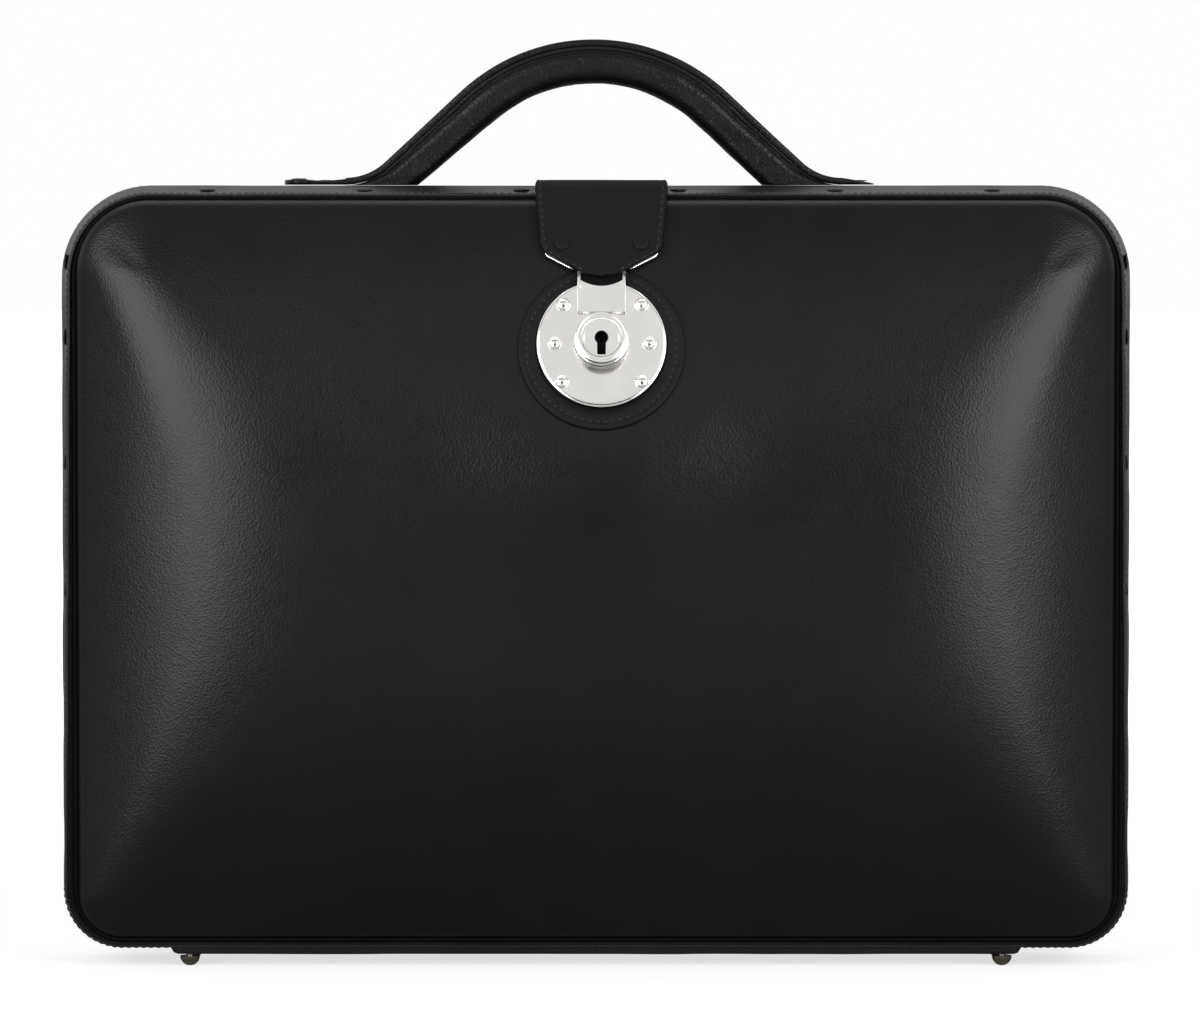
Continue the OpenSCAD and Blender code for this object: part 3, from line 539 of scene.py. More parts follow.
def metal(name, colour, rough):
    mat, n, l, shader = new_material(name)
    smudge = n.new("ShaderNodeGroup")
    smudge.node_tree = smudge_group()
    shader.inputs["Metallic"].default_value = 1.0
    two_tones(n, l, colour, 0.93, 1, smudge.outputs["Value"], shader)
    ranged(n, l, smudge.outputs["Value"], rough[0], rough[1], shader.inputs["Roughness"])
    relief(n, l, smudge.outputs["Height"], 0.3, 0.003 * MM, shader)
    return mat


def suede(name, colour):
    mat, n, l, shader = new_material(name)
    coord = n.new("ShaderNodeTexCoord")
    nap = noise_node(n, 900.0, 4.0, 0.7)
    cloud = noise_node(n, 22.0, 4.0)
    l.new(coord.outputs["Object"], nap.inputs["Vector"])
    l.new(coord.outputs["Object"], cloud.inputs["Vector"])
    two_tones(n, l, colour, 0.7, 1.25, cloud.outputs["Fac"], shader)
    shader.inputs["Roughness"].default_value = 0.9
    shader.inputs["Sheen Weight"].default_value = 0.35
    relief(n, l, nap.outputs["Fac"], 0.7, 0.15 * MM, shader)
    return mat


def wood(name, colour):
    mat, n, l, shader = new_material(name)
    coord = n.new("ShaderNodeTexCoord")
    wave = n.new("ShaderNodeTexWave")
    wave.bands_direction = "Y"
    wave.inputs["Scale"].default_value = 140.0
    wave.inputs["Distortion"].default_value = 5.0
    wave.inputs["Detail"].default_value = 3.0
    l.new(coord.outputs["Object"], wave.inputs["Vector"])
    two_tones(n, l, colour, 0.7, 1.15, wave.outputs["Fac"], shader)
    shader.inputs["Roughness"].default_value = 0.55
    return mat


FINISHES = {}


def finish(name):
    """Each finish is made once, from the colours in the scene's settings."""
    if name in FINISHES:
        return FINISHES[name]
    tone = bpy.context.scene.case_finish
    # Painted shade: the groove leather is the rim's colour at 0.3, darker to stand for the shade in the
    # groove by the piping and in the hasp's hollow.
    dark = [c * 0.3 for c in tone.rim]
    # Painted shade: nearly black steel for the faces inside the keyhole.
    dark_keyhole_tone = [c * 0.04 for c in tone.steel]
    made = {
        "panel_leather": lambda: leather(
            name, tone.panel, (0.27, 0.35), 1100, (30, 0.25), depth=0.07, level=0.165
        ),
        "painted_shade_leather": lambda: leather(name, dark, (0.6, 0.7), 900, level=0.05),
        "rim_leather": lambda: leather(
            name, tone.rim, (0.38, 0.52), 900, (60, 0.4), depth=0.06, level=0.17
        ),
        "handle_leather": lambda: leather(
            name, tone.handle, (0.26, 0.42), 850, (38, 0.9), (1, 0.6, 1), depth=0.11, level=0.15
        ),
        "tab_leather": lambda: leather(name, tone.tab, (0.5, 0.62), 1000, (55, 0.3), level=0.09),
        "thread": lambda: leather(name, tone.thread, (0.45, 0.6), 2500, (300, 0.5)),
        "suede": lambda: suede(name, tone.suede),
        "core_cord": lambda: suede(name, tone.cord),
        "nickel": lambda: metal(name, tone.nickel, (0.1, 0.2)),
        "steel": lambda: metal(name, tone.steel, (0.25, 0.4)),
        "keyhole_shade_steel": lambda: metal(name, dark_keyhole_tone, (0.5, 0.6)),
        "aged_metal": lambda: metal(name, tone.aged, (0.22, 0.34)),
        "hoop_wood": lambda: wood(name, tone.wood),
    }[name]()
    FINISHES[name] = made
    return made


# ---- Moulded panels ----


def rise(d, run, dome):
    """Height of a round slope at a distance from its foot."""
    return dome * (1 - (1 - min(max(d, 0.0) / run, 1.0)) ** 2)


def swell(p, x, up, half):
    """Height of the dome over its rolled edge."""
    radius = panel_radius(up)
    dx, dv = PANEL_A - abs(x), PANEL_B - abs(up)
    qx, qv = max(radius - dx, 0.0), max(radius - dv, 0.0)
    true = radius - math.hypot(qx, qv)
    near = radius - (qx ** 4 + qv ** 4) ** 0.25
    share = true / near if true > 1e-6 else 0.0
    a, b = rise(dx, p.run_x, p.dome), rise(dv, p.run_z, p.dome)
    hip = p.hip * (0.7 + 0.3 * min(a, b) / p.dome)
    low = min(a, b) - max(hip - abs(a - b), 0.0) ** 2 / (4 * hip)
    height = share * low
    if half == "lid":
        lock_up = LOCK_AT.z - MID_Z
        edge = PANEL_B - lock_up
        t = (math.hypot(x - LOCK_AT.x, up - lock_up) - p.patch) / (p.blend - p.patch)
        t = min(max(t, 0.0), 1.0)
        w = t ** 3 * (10 - 15 * t + 6 * t * t)
        patch = rise(edge, p.run_z, p.dome) - math.tan(LOCK_TILT) * (up - lock_up)
        height = patch * (1 - w) + height * w
    return height


def square_to_ring(u, v, a, b, r):
    """Carries a point of the square's rim at (u, v) to the rounded rectangle's, by arc length."""
    size = max(abs(u), abs(v))
    if size < 1e-9:
        return 0.0, 0.0
    if abs(u) >= abs(v):
        long, short, t, flip = a, b, v / size, False
        sign = 1 if u > 0 else -1
    else:
        long, short, t, flip = b, a, u / size, True
        sign = 1 if v > 0 else -1
    flat = short - r
    reach = abs(t) * (flat + r * math.pi / 4)
    side = 1 if t > 0 else -1
    if reach <= flat or r < 1e-9:
        p, q = long, min(reach, short)
    else:
        turn = (reach - flat) / r
        p, q = long - r + r * math.cos(turn), flat + r * math.sin(turn)
    p, q = sign * p, side * q
    return (q, p) if flip else (p, q)


ROLL_SHARE = 0.07


def panel_point(half, start, wobble=0.0):
    """Returns place(u, v) over a panel, from its rolled edge to its crown."""
    p = bpy.context.scene.case_panel
    rim_depth = HALF_DEPTH[half]
    roll = p.roll - start

    def place(u, v):
        u, v = 2 * u - 1, 2 * v - 1
        radius = panel_radius(v)
        size = max(abs(u), abs(v))
        edge = 1 - size
        if edge < ROLL_SHARE:
            turn = edge / ROLL_SHARE * math.pi / 2
            inset = start + roll * (1 - math.cos(turn))
            lift = roll * math.sin(turn)
            outer = p.roll * (1 - math.cos(turn))
            ring = (PANEL_A - inset, PANEL_B - inset, radius - inset)
            shape = (PANEL_A - outer, PANEL_B - outer, radius - outer)
        else:
            s = size / (1 - ROLL_SHARE)
            lift = roll
            ring = ((PANEL_A - p.roll) * s, (PANEL_B - p.roll) * s, (radius - p.roll) * s)
            shape = ring
        x, up = square_to_ring(u, v, *ring)
        sx, sv = square_to_ring(u, v, *shape)
        deep = rim_depth + 0.1 * MM + lift + swell(p, sx, sv, half)
        if wobble and edge > ROLL_SHARE:
            fade = min((edge - ROLL_SHARE) / 0.1, 1.0)
            where = Vector((x * 26, up * 26, 3.0 if half == "lid" else 9.0))
            far = min(math.hypot(x - LOCK_AT.x, up - (LOCK_AT.z - MID_Z)) / p.patch, 1.0) ** 4
            deep += wobble * fade * far * noise.noise(where)
        return in_half(half, x, up, deep)

    return place


def make_panel(half):
    p = bpy.context.scene.case_panel
    bm = draped_grid(240, 180, panel_point(half, 0.0, 0.16 * MM))
    panel = finish_piece(bm, f"{half}_panel_leather", finish("panel_leather"))
    thicken(panel, p.leather)
    settle(panel, "panel_leather", HALF_BODY[half], f"{half}_panel")
    bm = draped_grid(120, 90, panel_point(half, p.leather + 0.3 * MM))
    lining = finish_piece(bm, f"{half}_panel_suede", finish("suede"))
    thicken(lining, p.lining)
    settle(lining, "suede", HALF_BODY[half], f"{half}_panel_lining")


def thicken(piece, thickness):
    """Gives an outer skin its thickness inwards: away from the side that its normals face."""
    out = Vector((0, -1 if piece.name.startswith("lid") else 1, 0))
    mesh = piece.data
    middle = mesh.polygons[len(mesh.polygons) // 2]
    if middle.normal.dot(out) < 0:
        mesh.flip_normals()
    modify(piece, "thickness", "SOLIDIFY", thickness=thickness, offset=-1, use_even_offset=True)


class CASE_OT_panels(bpy.types.Operator):
    """Mould the two domed panels and their suede linings"""
    bl_idname = "case.panels"
    bl_label = "Moulded panels"

    def execute(self, context):
        for half in ("lid", "rear"):
            make_panel(half)
        return {"FINISHED"}


# ---- Rims ----


def rivet_spots(half):
    """Middles of the rim rivets' heads, from the rivets' own solids."""
    spots = []
    for vert in frame["nodes"][f"{half}_rivets"].data.vertices:
        co = vert.co
        if max(abs(co.x) - RIM_W / 2, abs(co.z - MID_Z) - RIM_H / 2) < -1.75 * MM:
            continue
        for spot in spots:
            if (spot[0] / spot[1] - co).length < 9 * MM:
                spot[0] += co
                spot[1] += 1
                break
        else:
            spots.append([co.copy(), 1])
    return [total / count for total, count in spots]


def rim_place(half, profile, dent=0.0, spots=()):
    """Returns place(u, v): u round the rim, v round the closed section that profile(side) gives."""
    def place(u, v):
        x, up, nx, nv = rim_point(u)
        section = profile(up, nx * nx)
        section.append(section[0])
        at = v * (len(section) - 1)
        i = min(int(at + 1e-6), len(section) - 2)
        t = at - i
        out = section[i][0] * (1 - t) + section[i + 1][0] * t
        deep = section[i][1] * (1 - t) + section[i + 1][1] * t
        point = in_half(half, x + nx * out, up + nv * out, deep)
        if dent:
            pull = sum(math.exp(-((spot - point).length / (9 * MM)) ** 2) for spot in spots)
            sway = 0.15 * MM * noise.noise(point * 35)
            point += Vector((nx, 0, nv)) * (sway - dent * pull)
        return point

    return place


def panel_inset(side):
    """From the rim's outside to the panel: side is 1 at the sides and 0 at top and bottom."""
    return (RIM_W / 2 - PANEL_A) * side + (RIM_H / 2 - PANEL_B) * (1 - side)


def band_section(depth, up, side):
    """Band whose front edge stands proud and rounded, turned in over the hoop as far as the panel."""
    rim = bpy.context.scene.case_rim
    gap = 0.15 * MM
    taper = rim_taper(up, side)
    lean = taper / depth
    lip, round_r = depth + 1.3 * MM, 0.5 * MM
    floor, under = depth + 0.06 * MM, depth - 0.04 * MM
    outer = [(-lean * d, d) for d in [gap + (lip - round_r - gap) * i / 8 for i in range(9)]]
    edge = lean * lip
    turns = [math.pi * i / 8 for i in range(1, 9)]
    bend = [(-edge - round_r * (1 - math.cos(a)), lip - round_r + round_r * math.sin(a)) for a in turns]
    last = panel_inset(side) + 1.2 * MM
    return [(-0.35 * MM, gap)] + outer[1:] + bend + [
        (-edge - 2 * round_r, floor), (-last, floor), (-last, under), (-taper - rim.band, under),
        (-rim.band, gap)
    ]


def piping_section(depth, up, side):
    """Thin cord in the crook between the band and the panel, in darker leather as painted shade in the
    groove.
    """
    rim = bpy.context.scene.case_rim
    middle = panel_inset(side) - 0.7 * rim.piping
    turns = [TAU * i / 12 for i in range(12)]
    return [(-middle + rim.piping * math.cos(a), depth + rim.piping * (1 + math.sin(a))) for a in turns]


def make_rim(half):
    rim = bpy.context.scene.case_rim
    depth = HALF_DEPTH[half]
    body = HALF_BODY[half]
    spots = rivet_spots(half)
    points = len(band_section(depth, 0, 0))
    band_shape = functools.partial(band_section, depth)
    bm = draped_grid(420, points, rim_place(half, band_shape, rim.dent, spots))
    band = finish_piece(bm, f"{half}_band_leather", finish("rim_leather"))
    settle(band, "rim_leather", body, f"{half}_band")
    bm = draped_grid(420, 12, rim_place(half, functools.partial(piping_section, depth)))
    # The piping takes the darker leather: painted shade in the groove.
    piping = finish_piece(bm, f"{half}_piping_painted_shade", finish("painted_shade_leather"))
    settle(piping, "rim_leather", body, f"{half}_piping")
    bm = bmesh.new()
    for spot in spots:
        across = abs(spot.x) - RIM_W / 2 > abs(spot.z - MID_Z) - RIM_H / 2
        up = math.copysign(1, spot.z - MID_Z)
        normal = Vector((math.copysign(1, spot.x), 0, 0)) if across else Vector((0, 0, up))
        radius = rim.radius if spot.z > MID_Z else rim.low_radius
        past = abs(spot.z - MID_Z) - (RIM_H / 2 - radius) if across else abs(spot.x) - (RIM_W / 2 - radius)
        drawn = radius - math.sqrt(radius ** 2 - max(past, 0.0) ** 2)
        low = spot.dot(normal) - ((RIM_W / 2 if across else RIM_H / 2 + MID_Z * normal.z) - 2.35 * MM - drawn)
        turn = normal.to_track_quat("Z", "Y").to_matrix().to_4x4()
        round_head(bm, Matrix.Translation(spot - normal * low) @ turn, rim.rivet, 0.95 * MM)
    heads = finish_piece(bm, f"{half}_rivet_heads", finish("rim_leather"))
    settle(heads, "rim_leather", body, f"{half}_rivets")


def make_rim_stitches(half):
    rim, stitch = bpy.context.scene.case_rim, bpy.context.scene.case_stitch
    depth = HALF_DEPTH[half]
    around = 2 * (RIM_W + RIM_H) - (4 - math.pi) * (rim.radius + rim.low_radius)
    count = int(around / stitch.pitch)
    row = depth - 1.4 * MM
    spots = rivet_spots(half)
    places = []
    for i in range(count):
        x, up, nx, nv = rim_point((i + 0.5) / count)
        lean = rim_taper(up, nx * nx) / depth
        near = in_half(half, x, up, row)
        pull = sum(math.exp(-((spot - near).length / (9 * MM)) ** 2) for spot in spots)
        out = -lean * row + 0.05 * MM - rim.dent * pull
        point = in_half(half, x + nx * out, up + nv * out, row)
        normal = (Vector((nx, 0, nv)) + Vector((0, -lean if half == "lid" else lean, 0))).normalized()
        along = Vector((nv, 0, -nx))
        places.append((point, along, normal))
    bm = bmesh.new()
    stitch_row(bm, places, stitch.length, stitch.width)
    row_piece = finish_piece(bm, f"{half}_rim_stitches", finish("thread"))
    settle(row_piece, "rim_leather", HALF_BODY[half])


def make_base_strip(half):
    """Leather strip under a rim, with rounded ends and an uneven lower edge."""
    low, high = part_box(f"{half}_base_strip")
    middle, span = (low + high) / 2, (high - low) / 2
    bottom = low.z + 1.0 * MM

    def place(u, v):
        x = middle.x + span.x * (2 * u - 1)
        end = min(x - low.x, high.x - x)
        fade = math.sqrt(max(1 - max(1 - end / (4 * MM), 0.0) ** 2, 0.01))
        tall = (high.z - bottom) / 2 * (0.35 + 0.65 * fade)
        a, b, _, _ = round_rect(span.y * (0.6 + 0.4 * fade), tall, min(0.8 * MM, tall * 0.9), v)
        sag = 0.2 * MM * noise.noise(Vector((x * 40, 0.5, 0.5))) if b < 0 else 0.0
        return Vector((x, middle.y + a, high.z - tall + b + sag))

    strip = finish_piece(swept_tube(220, 32, place), f"{half}_strip_leather", finish("rim_leather"))
    settle(strip, "rim_leather", HALF_BODY[half], f"{half}_base_strip")


class CASE_OT_rims(bpy.types.Operator):
    """Wrap both rims in leather, with piping and stitching"""
    bl_idname = "case.rims"
    bl_label = "Rims"

    def execute(self, context):
        for half in ("lid", "rear"):
            make_rim(half)
            make_rim_stitches(half)
            make_base_strip(half)
        return {"FINISHED"}


# ---- Handle ----


def handle_runs(h, drop):
    """Left end of the strap's line and its runs, drawn in by drop towards the case."""
    low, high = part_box("handle_strap")
    top = high.z - drop
    crown = h.crown - drop
    flare = h.flare + drop
    foot = MID_Z + RIM_H / 2 + 2.9 * MM - drop
    centre = top - crown
    leg_run = (centre + crown * math.cos(h.slope) - foot) / math.tan(h.slope)
    corner = crown * math.sin(h.slope) + leg_run
    tangent = flare * math.tan(h.slope / 2)
    leg = leg_run / math.cos(h.slope) - tangent
    left = (HANDLE_X - corner - tangent) - low.x
    right = high.x - (HANDLE_X + corner + tangent)
    runs = [(left, 0), (flare * h.slope, h.slope), (leg, 0), (2 * crown * h.slope, -2 * h.slope), (leg, 0),
            (flare * h.slope, h.slope), (right, 0)]
    return low.x, foot, runs


def tongue_thickness(h, before, after, runs):
    """Thickness of the strap: a wavy tongue on the left, one that thins to an edge on the right."""
    if before < runs[0][0]:
        return h.strap - 0.9 * MM + 0.35 * MM * math.sin(before / (3.4 * MM))
    if after < runs[6][0]:
        return 0.6 * MM + (h.strap - 0.6 * MM) * after / runs[6][0]
    return h.strap


def node_spots(name):
    """Middles of the rivets in a node of the frame, seen from above."""
    spots = []
    for vert in frame["nodes"][name].data.vertices:
        near = [s for s in spots if (s[0] / s[1] - vert.co).to_2d().length < 5 * MM]
        if near:
            near[0][0] += vert.co
            near[0][1] += 1
        else:
            spots.append([vert.co.copy(), 1])
    return [total / count for total, count in spots]


def low_heads(name, places, radius, height, material):
    """Flat leather-covered rivet heads: one per (point, lean about X)."""
    bm = bmesh.new()
    for point, lean in places:
        round_head(bm, Matrix.Translation(point) @ Matrix.Rotation(lean, 4, "X"), radius, height)
    heads = finish_piece(bm, name, finish(material))
    return heads


def make_strap_rivets():
    h = bpy.context.scene.case_handle
    _, foot, runs = handle_runs(h, 0.0)
    low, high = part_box("handle_strap")
    places = []
    for spot in node_spots("handle_rivets"):
        thick = tongue_thickness(h, spot.x - low.x, high.x - spot.x, runs)
        places.append((Vector((spot.x, spot.y, foot - h.strap + thick - 0.05 * MM)), 0.0))
    heads = low_heads("handle_rivet_heads", places, 3.3 * MM, 0.35 * MM, "handle_leather")
    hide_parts("handle_rivets")
    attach(heads, "case_body")


def make_strap():
    h = bpy.context.scene.case_handle
    x0, z0, runs = handle_runs(h, 0.0)
    at, total = trail(x0, z0, 0.0, runs)
    low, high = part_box("handle_strap")
    mid_y = (low.y + high.y) / 2
    half_w = h.strap_w / 2

    def place(u, v):
        s = u * total
        x, z, heading = at(min(s, total - 1e-7))
        end = min(s, total - s)
        width = half_w * math.sqrt(max(1 - max(1 - end / (7 * MM), 0) ** 2, 0.02))
        a, b, _, _ = round_rect(width, h.strap / 2, min(0.9 * MM, width * 0.9), v)
        thick = tongue_thickness(h, s, total - s, runs)
        lift = (b / h.strap + 0.5) * thick - h.strap
        if abs(a) > half_w - 1.9 * MM and b > 0:
            lift -= 0.25 * MM * math.exp(-((abs(a) - (half_w - 1.9 * MM)) / (0.35 * MM)) ** 2)
        if abs(a) > half_w - 0.3 * MM:
            a -= math.copysign(0.3 * MM * (0.5 + 0.5 * math.cos(TAU * b / (0.95 * MM))), a)
        lift += 0.1 * MM * (noise.noise(Vector((x * 60, a * 60, z * 60))) - 1)
        return Vector((x - math.sin(heading) * lift, mid_y + a, z + math.cos(heading) * lift))

    bm = swept_tube(260, 44, place)
    strap = finish_piece(bm, "handle_strap_leather", finish("handle_leather"))
    settle(strap, "handle_leather", "case_body", "handle_strap")


def half_trail(radius, slope, crown_z, foot_z, flare):
    """Length of the leg, and where a line of this radius and slope starts at the foot."""
    tangent = flare * math.tan(slope / 2)
    run = (crown_z + radius * math.cos(slope) - foot_z) / math.tan(slope)
    leg = run / math.cos(slope) - tangent
    return leg, radius * math.sin(slope) + run + tangent


def grip_edges(h):
    """Upper and lower line of the grip: at(s), and the lengths at which its legs and crown meet."""
    crown_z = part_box("handle_strap")[1].z - h.crown
    foot = MID_Z + RIM_H / 2 - 0.3 * MM
    upper_r, flare = h.crown - h.strap - 0.05 * MM, h.flare + h.strap
    leg, corner = half_trail(upper_r, h.slope, crown_z, foot, flare)
    arc = flare * h.slope
    upper, _ = trail(HANDLE_X - corner, foot, 0.0, [
        (arc, h.slope), (leg, 0), (2 * upper_r * h.slope, -2 * h.slope), (leg, 0), (arc, h.slope)
    ])
    lower_r = upper_r - h.grip_h
    leg_l, corner_l = half_trail(lower_r, h.inner_left, crown_z, foot, 0.0)
    leg_r, _ = half_trail(lower_r, h.inner_right, crown_z, foot, 0.0)
    bend = h.inner_left + h.inner_right
    lower, _ = trail(HANDLE_X - corner_l, foot, h.inner_left, [
        (leg_l, 0), (lower_r * bend, -bend), (leg_r, 0)
    ])
    marks = [0.0, arc + leg, arc + leg + 2 * upper_r * h.slope, 2 * (arc + leg) + 2 * upper_r * h.slope]
    return upper, marks, lower, [0.0, leg_l, leg_l + lower_r * bend, leg_l + lower_r * bend + leg_r]


def grip_section(h, v, height):
    """Point and outward normal round the grip's section, in (across, up)."""
    a, b, na, nb = round_rect(h.grip_w / 2, height / 2, 6.4 * MM, v)
    seam = height / 2 - h.seam
    if b > seam:
        a = math.copysign(min(abs(a) + 4 * MM, h.strap_w / 2 - 0.1 * MM), a) if abs(a) > 4 * MM else a
    near = math.exp(-((b - seam) / (0.45 * MM)) ** 2)
    if abs(a) > 6 * MM:
        a -= math.copysign(1.1 * MM * near, a)
    return a, b, na, nb


def make_grip():
    h = bpy.context.scene.case_handle
    low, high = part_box("handle_strap")
    mid_y = (low.y + high.y) / 2
    upper, ups, lower, lows = grip_edges(h)
    shares = (0.0, 0.26, 0.74, 1.0)

    def place(u, v):
        k = 0 if u < shares[1] else 1 if u < shares[2] else 2
        t = (u - shares[k]) / (shares[k + 1] - shares[k])
        top = upper(min(ups[k] + (ups[k + 1] - ups[k]) * t, ups[3] - 1e-7))
        base = lower(min(lows[k] + (lows[k + 1] - lows[k]) * t, lows[3] - 1e-7))
        outer, inner = Vector((top[0], 0, top[1])), Vector((base[0], 0, base[1]))
        span = outer - inner
        height = span.length
        a, b, na, nb = grip_section(h, v, height)
        fold = noise.noise(Vector((outer.x * 70, a * 22, outer.z * 70)))
        fine = noise.noise(Vector((outer.x * 210, a * 60, outer.z * 210)))
        worn = 0.22 * MM * fold + 0.08 * MM * fine
        point = inner + span * (0.5 + (b + nb * worn * (0.3 if b > 0 else 1)) / height)
        point.y = mid_y + a + na * worn
        return point

    bm = swept_tube(240, 84, place)
    grip = finish_piece(bm, "handle_grip_leather", finish("handle_leather"))
    settle(grip, "handle_leather", "case_body", "handle_grip")


class CASE_OT_handle(bpy.types.Operator):
    """Roll the handle's grip and lay the strap over it"""
    bl_idname = "case.handle"
    bl_label = "Handle"

    def execute(self, context):
        make_strap()
        make_strap_rivets()
        make_grip()
        return {"FINISHED"}


# ---- Tab ----


def tab_trail():
    """Line of the tab's top surface, from the rear of its anchor to the tip, in (forward, up)."""
    t = bpy.context.scene.case_tab
    back = SPLIT_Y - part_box("tab_anchor")[1].y
    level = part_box("tab_leather")[1].z - MID_Z
    knee = -4.0 * MM
    lean = math.atan(bpy.context.scene.case_rim.taper / REAR_DEPTH)
    ramp = (knee - back) / math.cos(lean)
    start_up = level - ramp * math.sin(lean)
    turn = math.pi / 2 - t.slope
    foot = flap_foot()
    corner_f = foot[0] - (level - t.thick - foot[1]) * math.tan(t.slope)
    back_off = t.fold * math.tan(turn / 2)
    flap = (level - t.thick - foot[1]) / math.cos(t.slope) - back_off
    outer = t.fold + t.thick
    runs = [(ramp, -lean), (corner_f - back_off - knee, 0), (outer * turn, -turn), (flap - t.tip_low, 0)]
    at, total = trail(back, start_up, lean, runs)
    return at, total, flap


def flap_foot():
    """Where the flap's underside leaves the hasp's tongue, as (forward, up)."""
    rise_v, rise_w = 27 * MM, 5.5 * MM
    forward = (SPLIT_Y - LOCK_AT.y) - rise_v * math.sin(LOCK_TILT) + rise_w * math.cos(LOCK_TILT)
    up = (LOCK_AT.z - MID_Z) + rise_v * math.cos(LOCK_TILT) + rise_w * math.sin(LOCK_TILT)
    return forward, up


def tab_half_width(y, flap):
    """Half width of the tab at a height y above the flap's foot."""
    t = bpy.context.scene.case_tab
    low = t.low_w / 2
    if y > t.corner_y:
        return low + (t.width / 2 - low) * min((y - t.corner_y) / (flap - t.corner_y), 1.0)
    if y > t.slant_y:
        k = (t.corner_y - y) / (t.corner_y - t.slant_y)
        return low - t.corner_w * k * k
    drop = t.tip_low + t.tip_r - y
    arc = math.sqrt(max(t.tip_r ** 2 - drop ** 2, 0.0))
    high = t.tip_low + t.tip_r - math.sqrt(t.tip_r ** 2 - t.tip_w ** 2)
    if y > high:
        return t.tip_w + (low - t.corner_w - t.tip_w) * (y - high) / (t.slant_y - high)
    return min(arc, t.tip_w)


def make_tab():
    t = bpy.context.scene.case_tab
    at, total, flap = tab_trail()
    x_mid = LOCK_AT.x

    def place(u, v):
        fine = 0.8
        s = total * (u / fine * 0.76 if u < fine else 0.76 + (u - fine) / (1 - fine) * 0.24)
        f, up, heading = at(min(s, total - 1e-7))
        y = min(total - s + t.tip_low, flap)
        width = max(tab_half_width(y, flap), 0.4 * MM)
        if s < 4 * MM:
            width -= 4 * MM * (1 - math.sqrt(max(1 - (1 - s / (4 * MM)) ** 2, 0)))
        a, b, _, _ = round_rect(width, t.thick / 2, min(0.7 * MM, width * 0.8), v)
        lift = b - t.thick / 2
        near = abs(abs(a) - (width - 2 * MM))
        if b > 0:
            lift -= 0.3 * MM * math.exp(-(near / (0.45 * MM)) ** 2)
            lift += 0.12 * MM * noise.noise(Vector((a * 50, s * 50, 2.0)))
        return in_half("lid", x_mid + a, up + math.cos(heading) * lift, f - math.sin(heading) * lift)

    bm = swept_tube(150, 60, place)
    tab = finish_piece(bm, "tab_strap_leather", finish("tab_leather"))
    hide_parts("tab_anchor", "tab_leather")
    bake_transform(tab)


def make_anchor_rivets():
    """Heads of the rivets that hold the tab's rear end, on its sloping top."""
    at, _, _ = tab_trail()
    lean = at(0.0)[2]
    places = []
    for spot in node_spots("tab_anchor_rivets"):
        f, up, _ = at((SPLIT_Y - spot.y - at(0.0)[0]) / math.cos(lean))
        places.append((in_half("lid", spot.x, up - 0.02 * MM, f), lean))
    heads = low_heads("tab_anchor_rivet_heads", places, 3.2 * MM, 0.4 * MM, "tab_leather")
    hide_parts("tab_anchor_rivets")
    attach(heads, "case_body")


def make_tab_stitches():
    stitch = bpy.context.scene.case_stitch
    at, total, flap = tab_trail()
    tip = bpy.context.scene.case_tab.tip_low
    inset = 2 * MM
    rows = {"tab": [], "case_body": []}
    for side in (-1, 1):
        last = None
        s = 3 * MM
        while s < total - 2.4 * MM:
            f, up, heading = at(s)
            y = min(total - s + tip, flap)
            a = side * (tab_half_width(y, flap) - inset)
            point = in_half("lid", LOCK_AT.x + a, up, f)
            if last is None or (point - last).length > stitch.pitch:
                ahead = at(s + 0.4 * MM)
                y2 = min(y, total - s - 0.4 * MM + tip)
                a2 = side * (tab_half_width(y2, flap) - inset)
                along = (in_half("lid", LOCK_AT.x + a2, ahead[1], ahead[0]) - point).normalized()
                normal = Vector((0, math.sin(heading), math.cos(heading)))
                normal = (normal - along * normal.dot(along)).normalized()
                body = "case_body" if f < -7 * MM else "tab" if f > 4 * MM else None
                if body:
                    rows[body].append((point - normal * 0.18 * MM, along, normal))
                last = point
            s += 0.25 * MM
    for body, places in rows.items():
        bm = bmesh.new()
        stitch_row(bm, places, stitch.length * 0.85, stitch.width * 0.9)
        row = finish_piece(bm, f"tab_stitches_{body}", finish("thread"))
        settle(row, "tab_leather", body)


class CASE_OT_tab(bpy.types.Operator):
    """Fold the tab over the rims and stitch its edge"""
    bl_idname = "case.tab"
    bl_label = "Tab"

    def execute(self, context):
        make_tab()
        make_anchor_rivets()
        make_tab_stitches()
        return {"FINISHED"}


# ---- Lock ----


def make_backing():
    """Leather disc under the lock plate, with its stitched edge."""
    stitch = bpy.context.scene.case_stitch
    radius, low, high, hole = 34.3 * MM, -0.5 * MM, 2.0 * MM, 25.5 * MM
    drop = -1.6 * MM
    groove = radius - 3.4 * MM
    outline = [(hole, low), (hole, high), (groove - 0.7 * MM, high), (groove, high - 0.3 * MM),
               (groove + 0.7 * MM, high), (radius - 0.7 * MM, high), (radius - 0.2 * MM, high - 0.3 * MM),
               (radius, high - 0.8 * MM), (radius, low), (hole, low)]
    backing = turned("lock_backing_leather", outline, lock_matrix(0, drop, 0), finish("tab_leather"))
    settle(backing, "tab_leather", "lid", "lock_backing")
    count = int(TAU * groove / stitch.pitch)
    matrix = lock_matrix(0, drop, high - 0.1 * MM)
    turn = matrix.to_3x3()
    places = []
    for i in range(count):
        a = TAU * i / count
        point = matrix @ Vector((groove * math.cos(a), groove * math.sin(a), 0))
        along = turn @ Vector((-math.sin(a), math.cos(a), 0))
        places.append((point, along, turn @ Vector((0, 0, 1))))
    bm = bmesh.new()
    stitch_row(bm, places, stitch.length * 0.85, stitch.width * 0.9)
    row = finish_piece(bm, "lock_backing_stitches", finish("thread"))
    settle(row, "tab_leather", "lid")


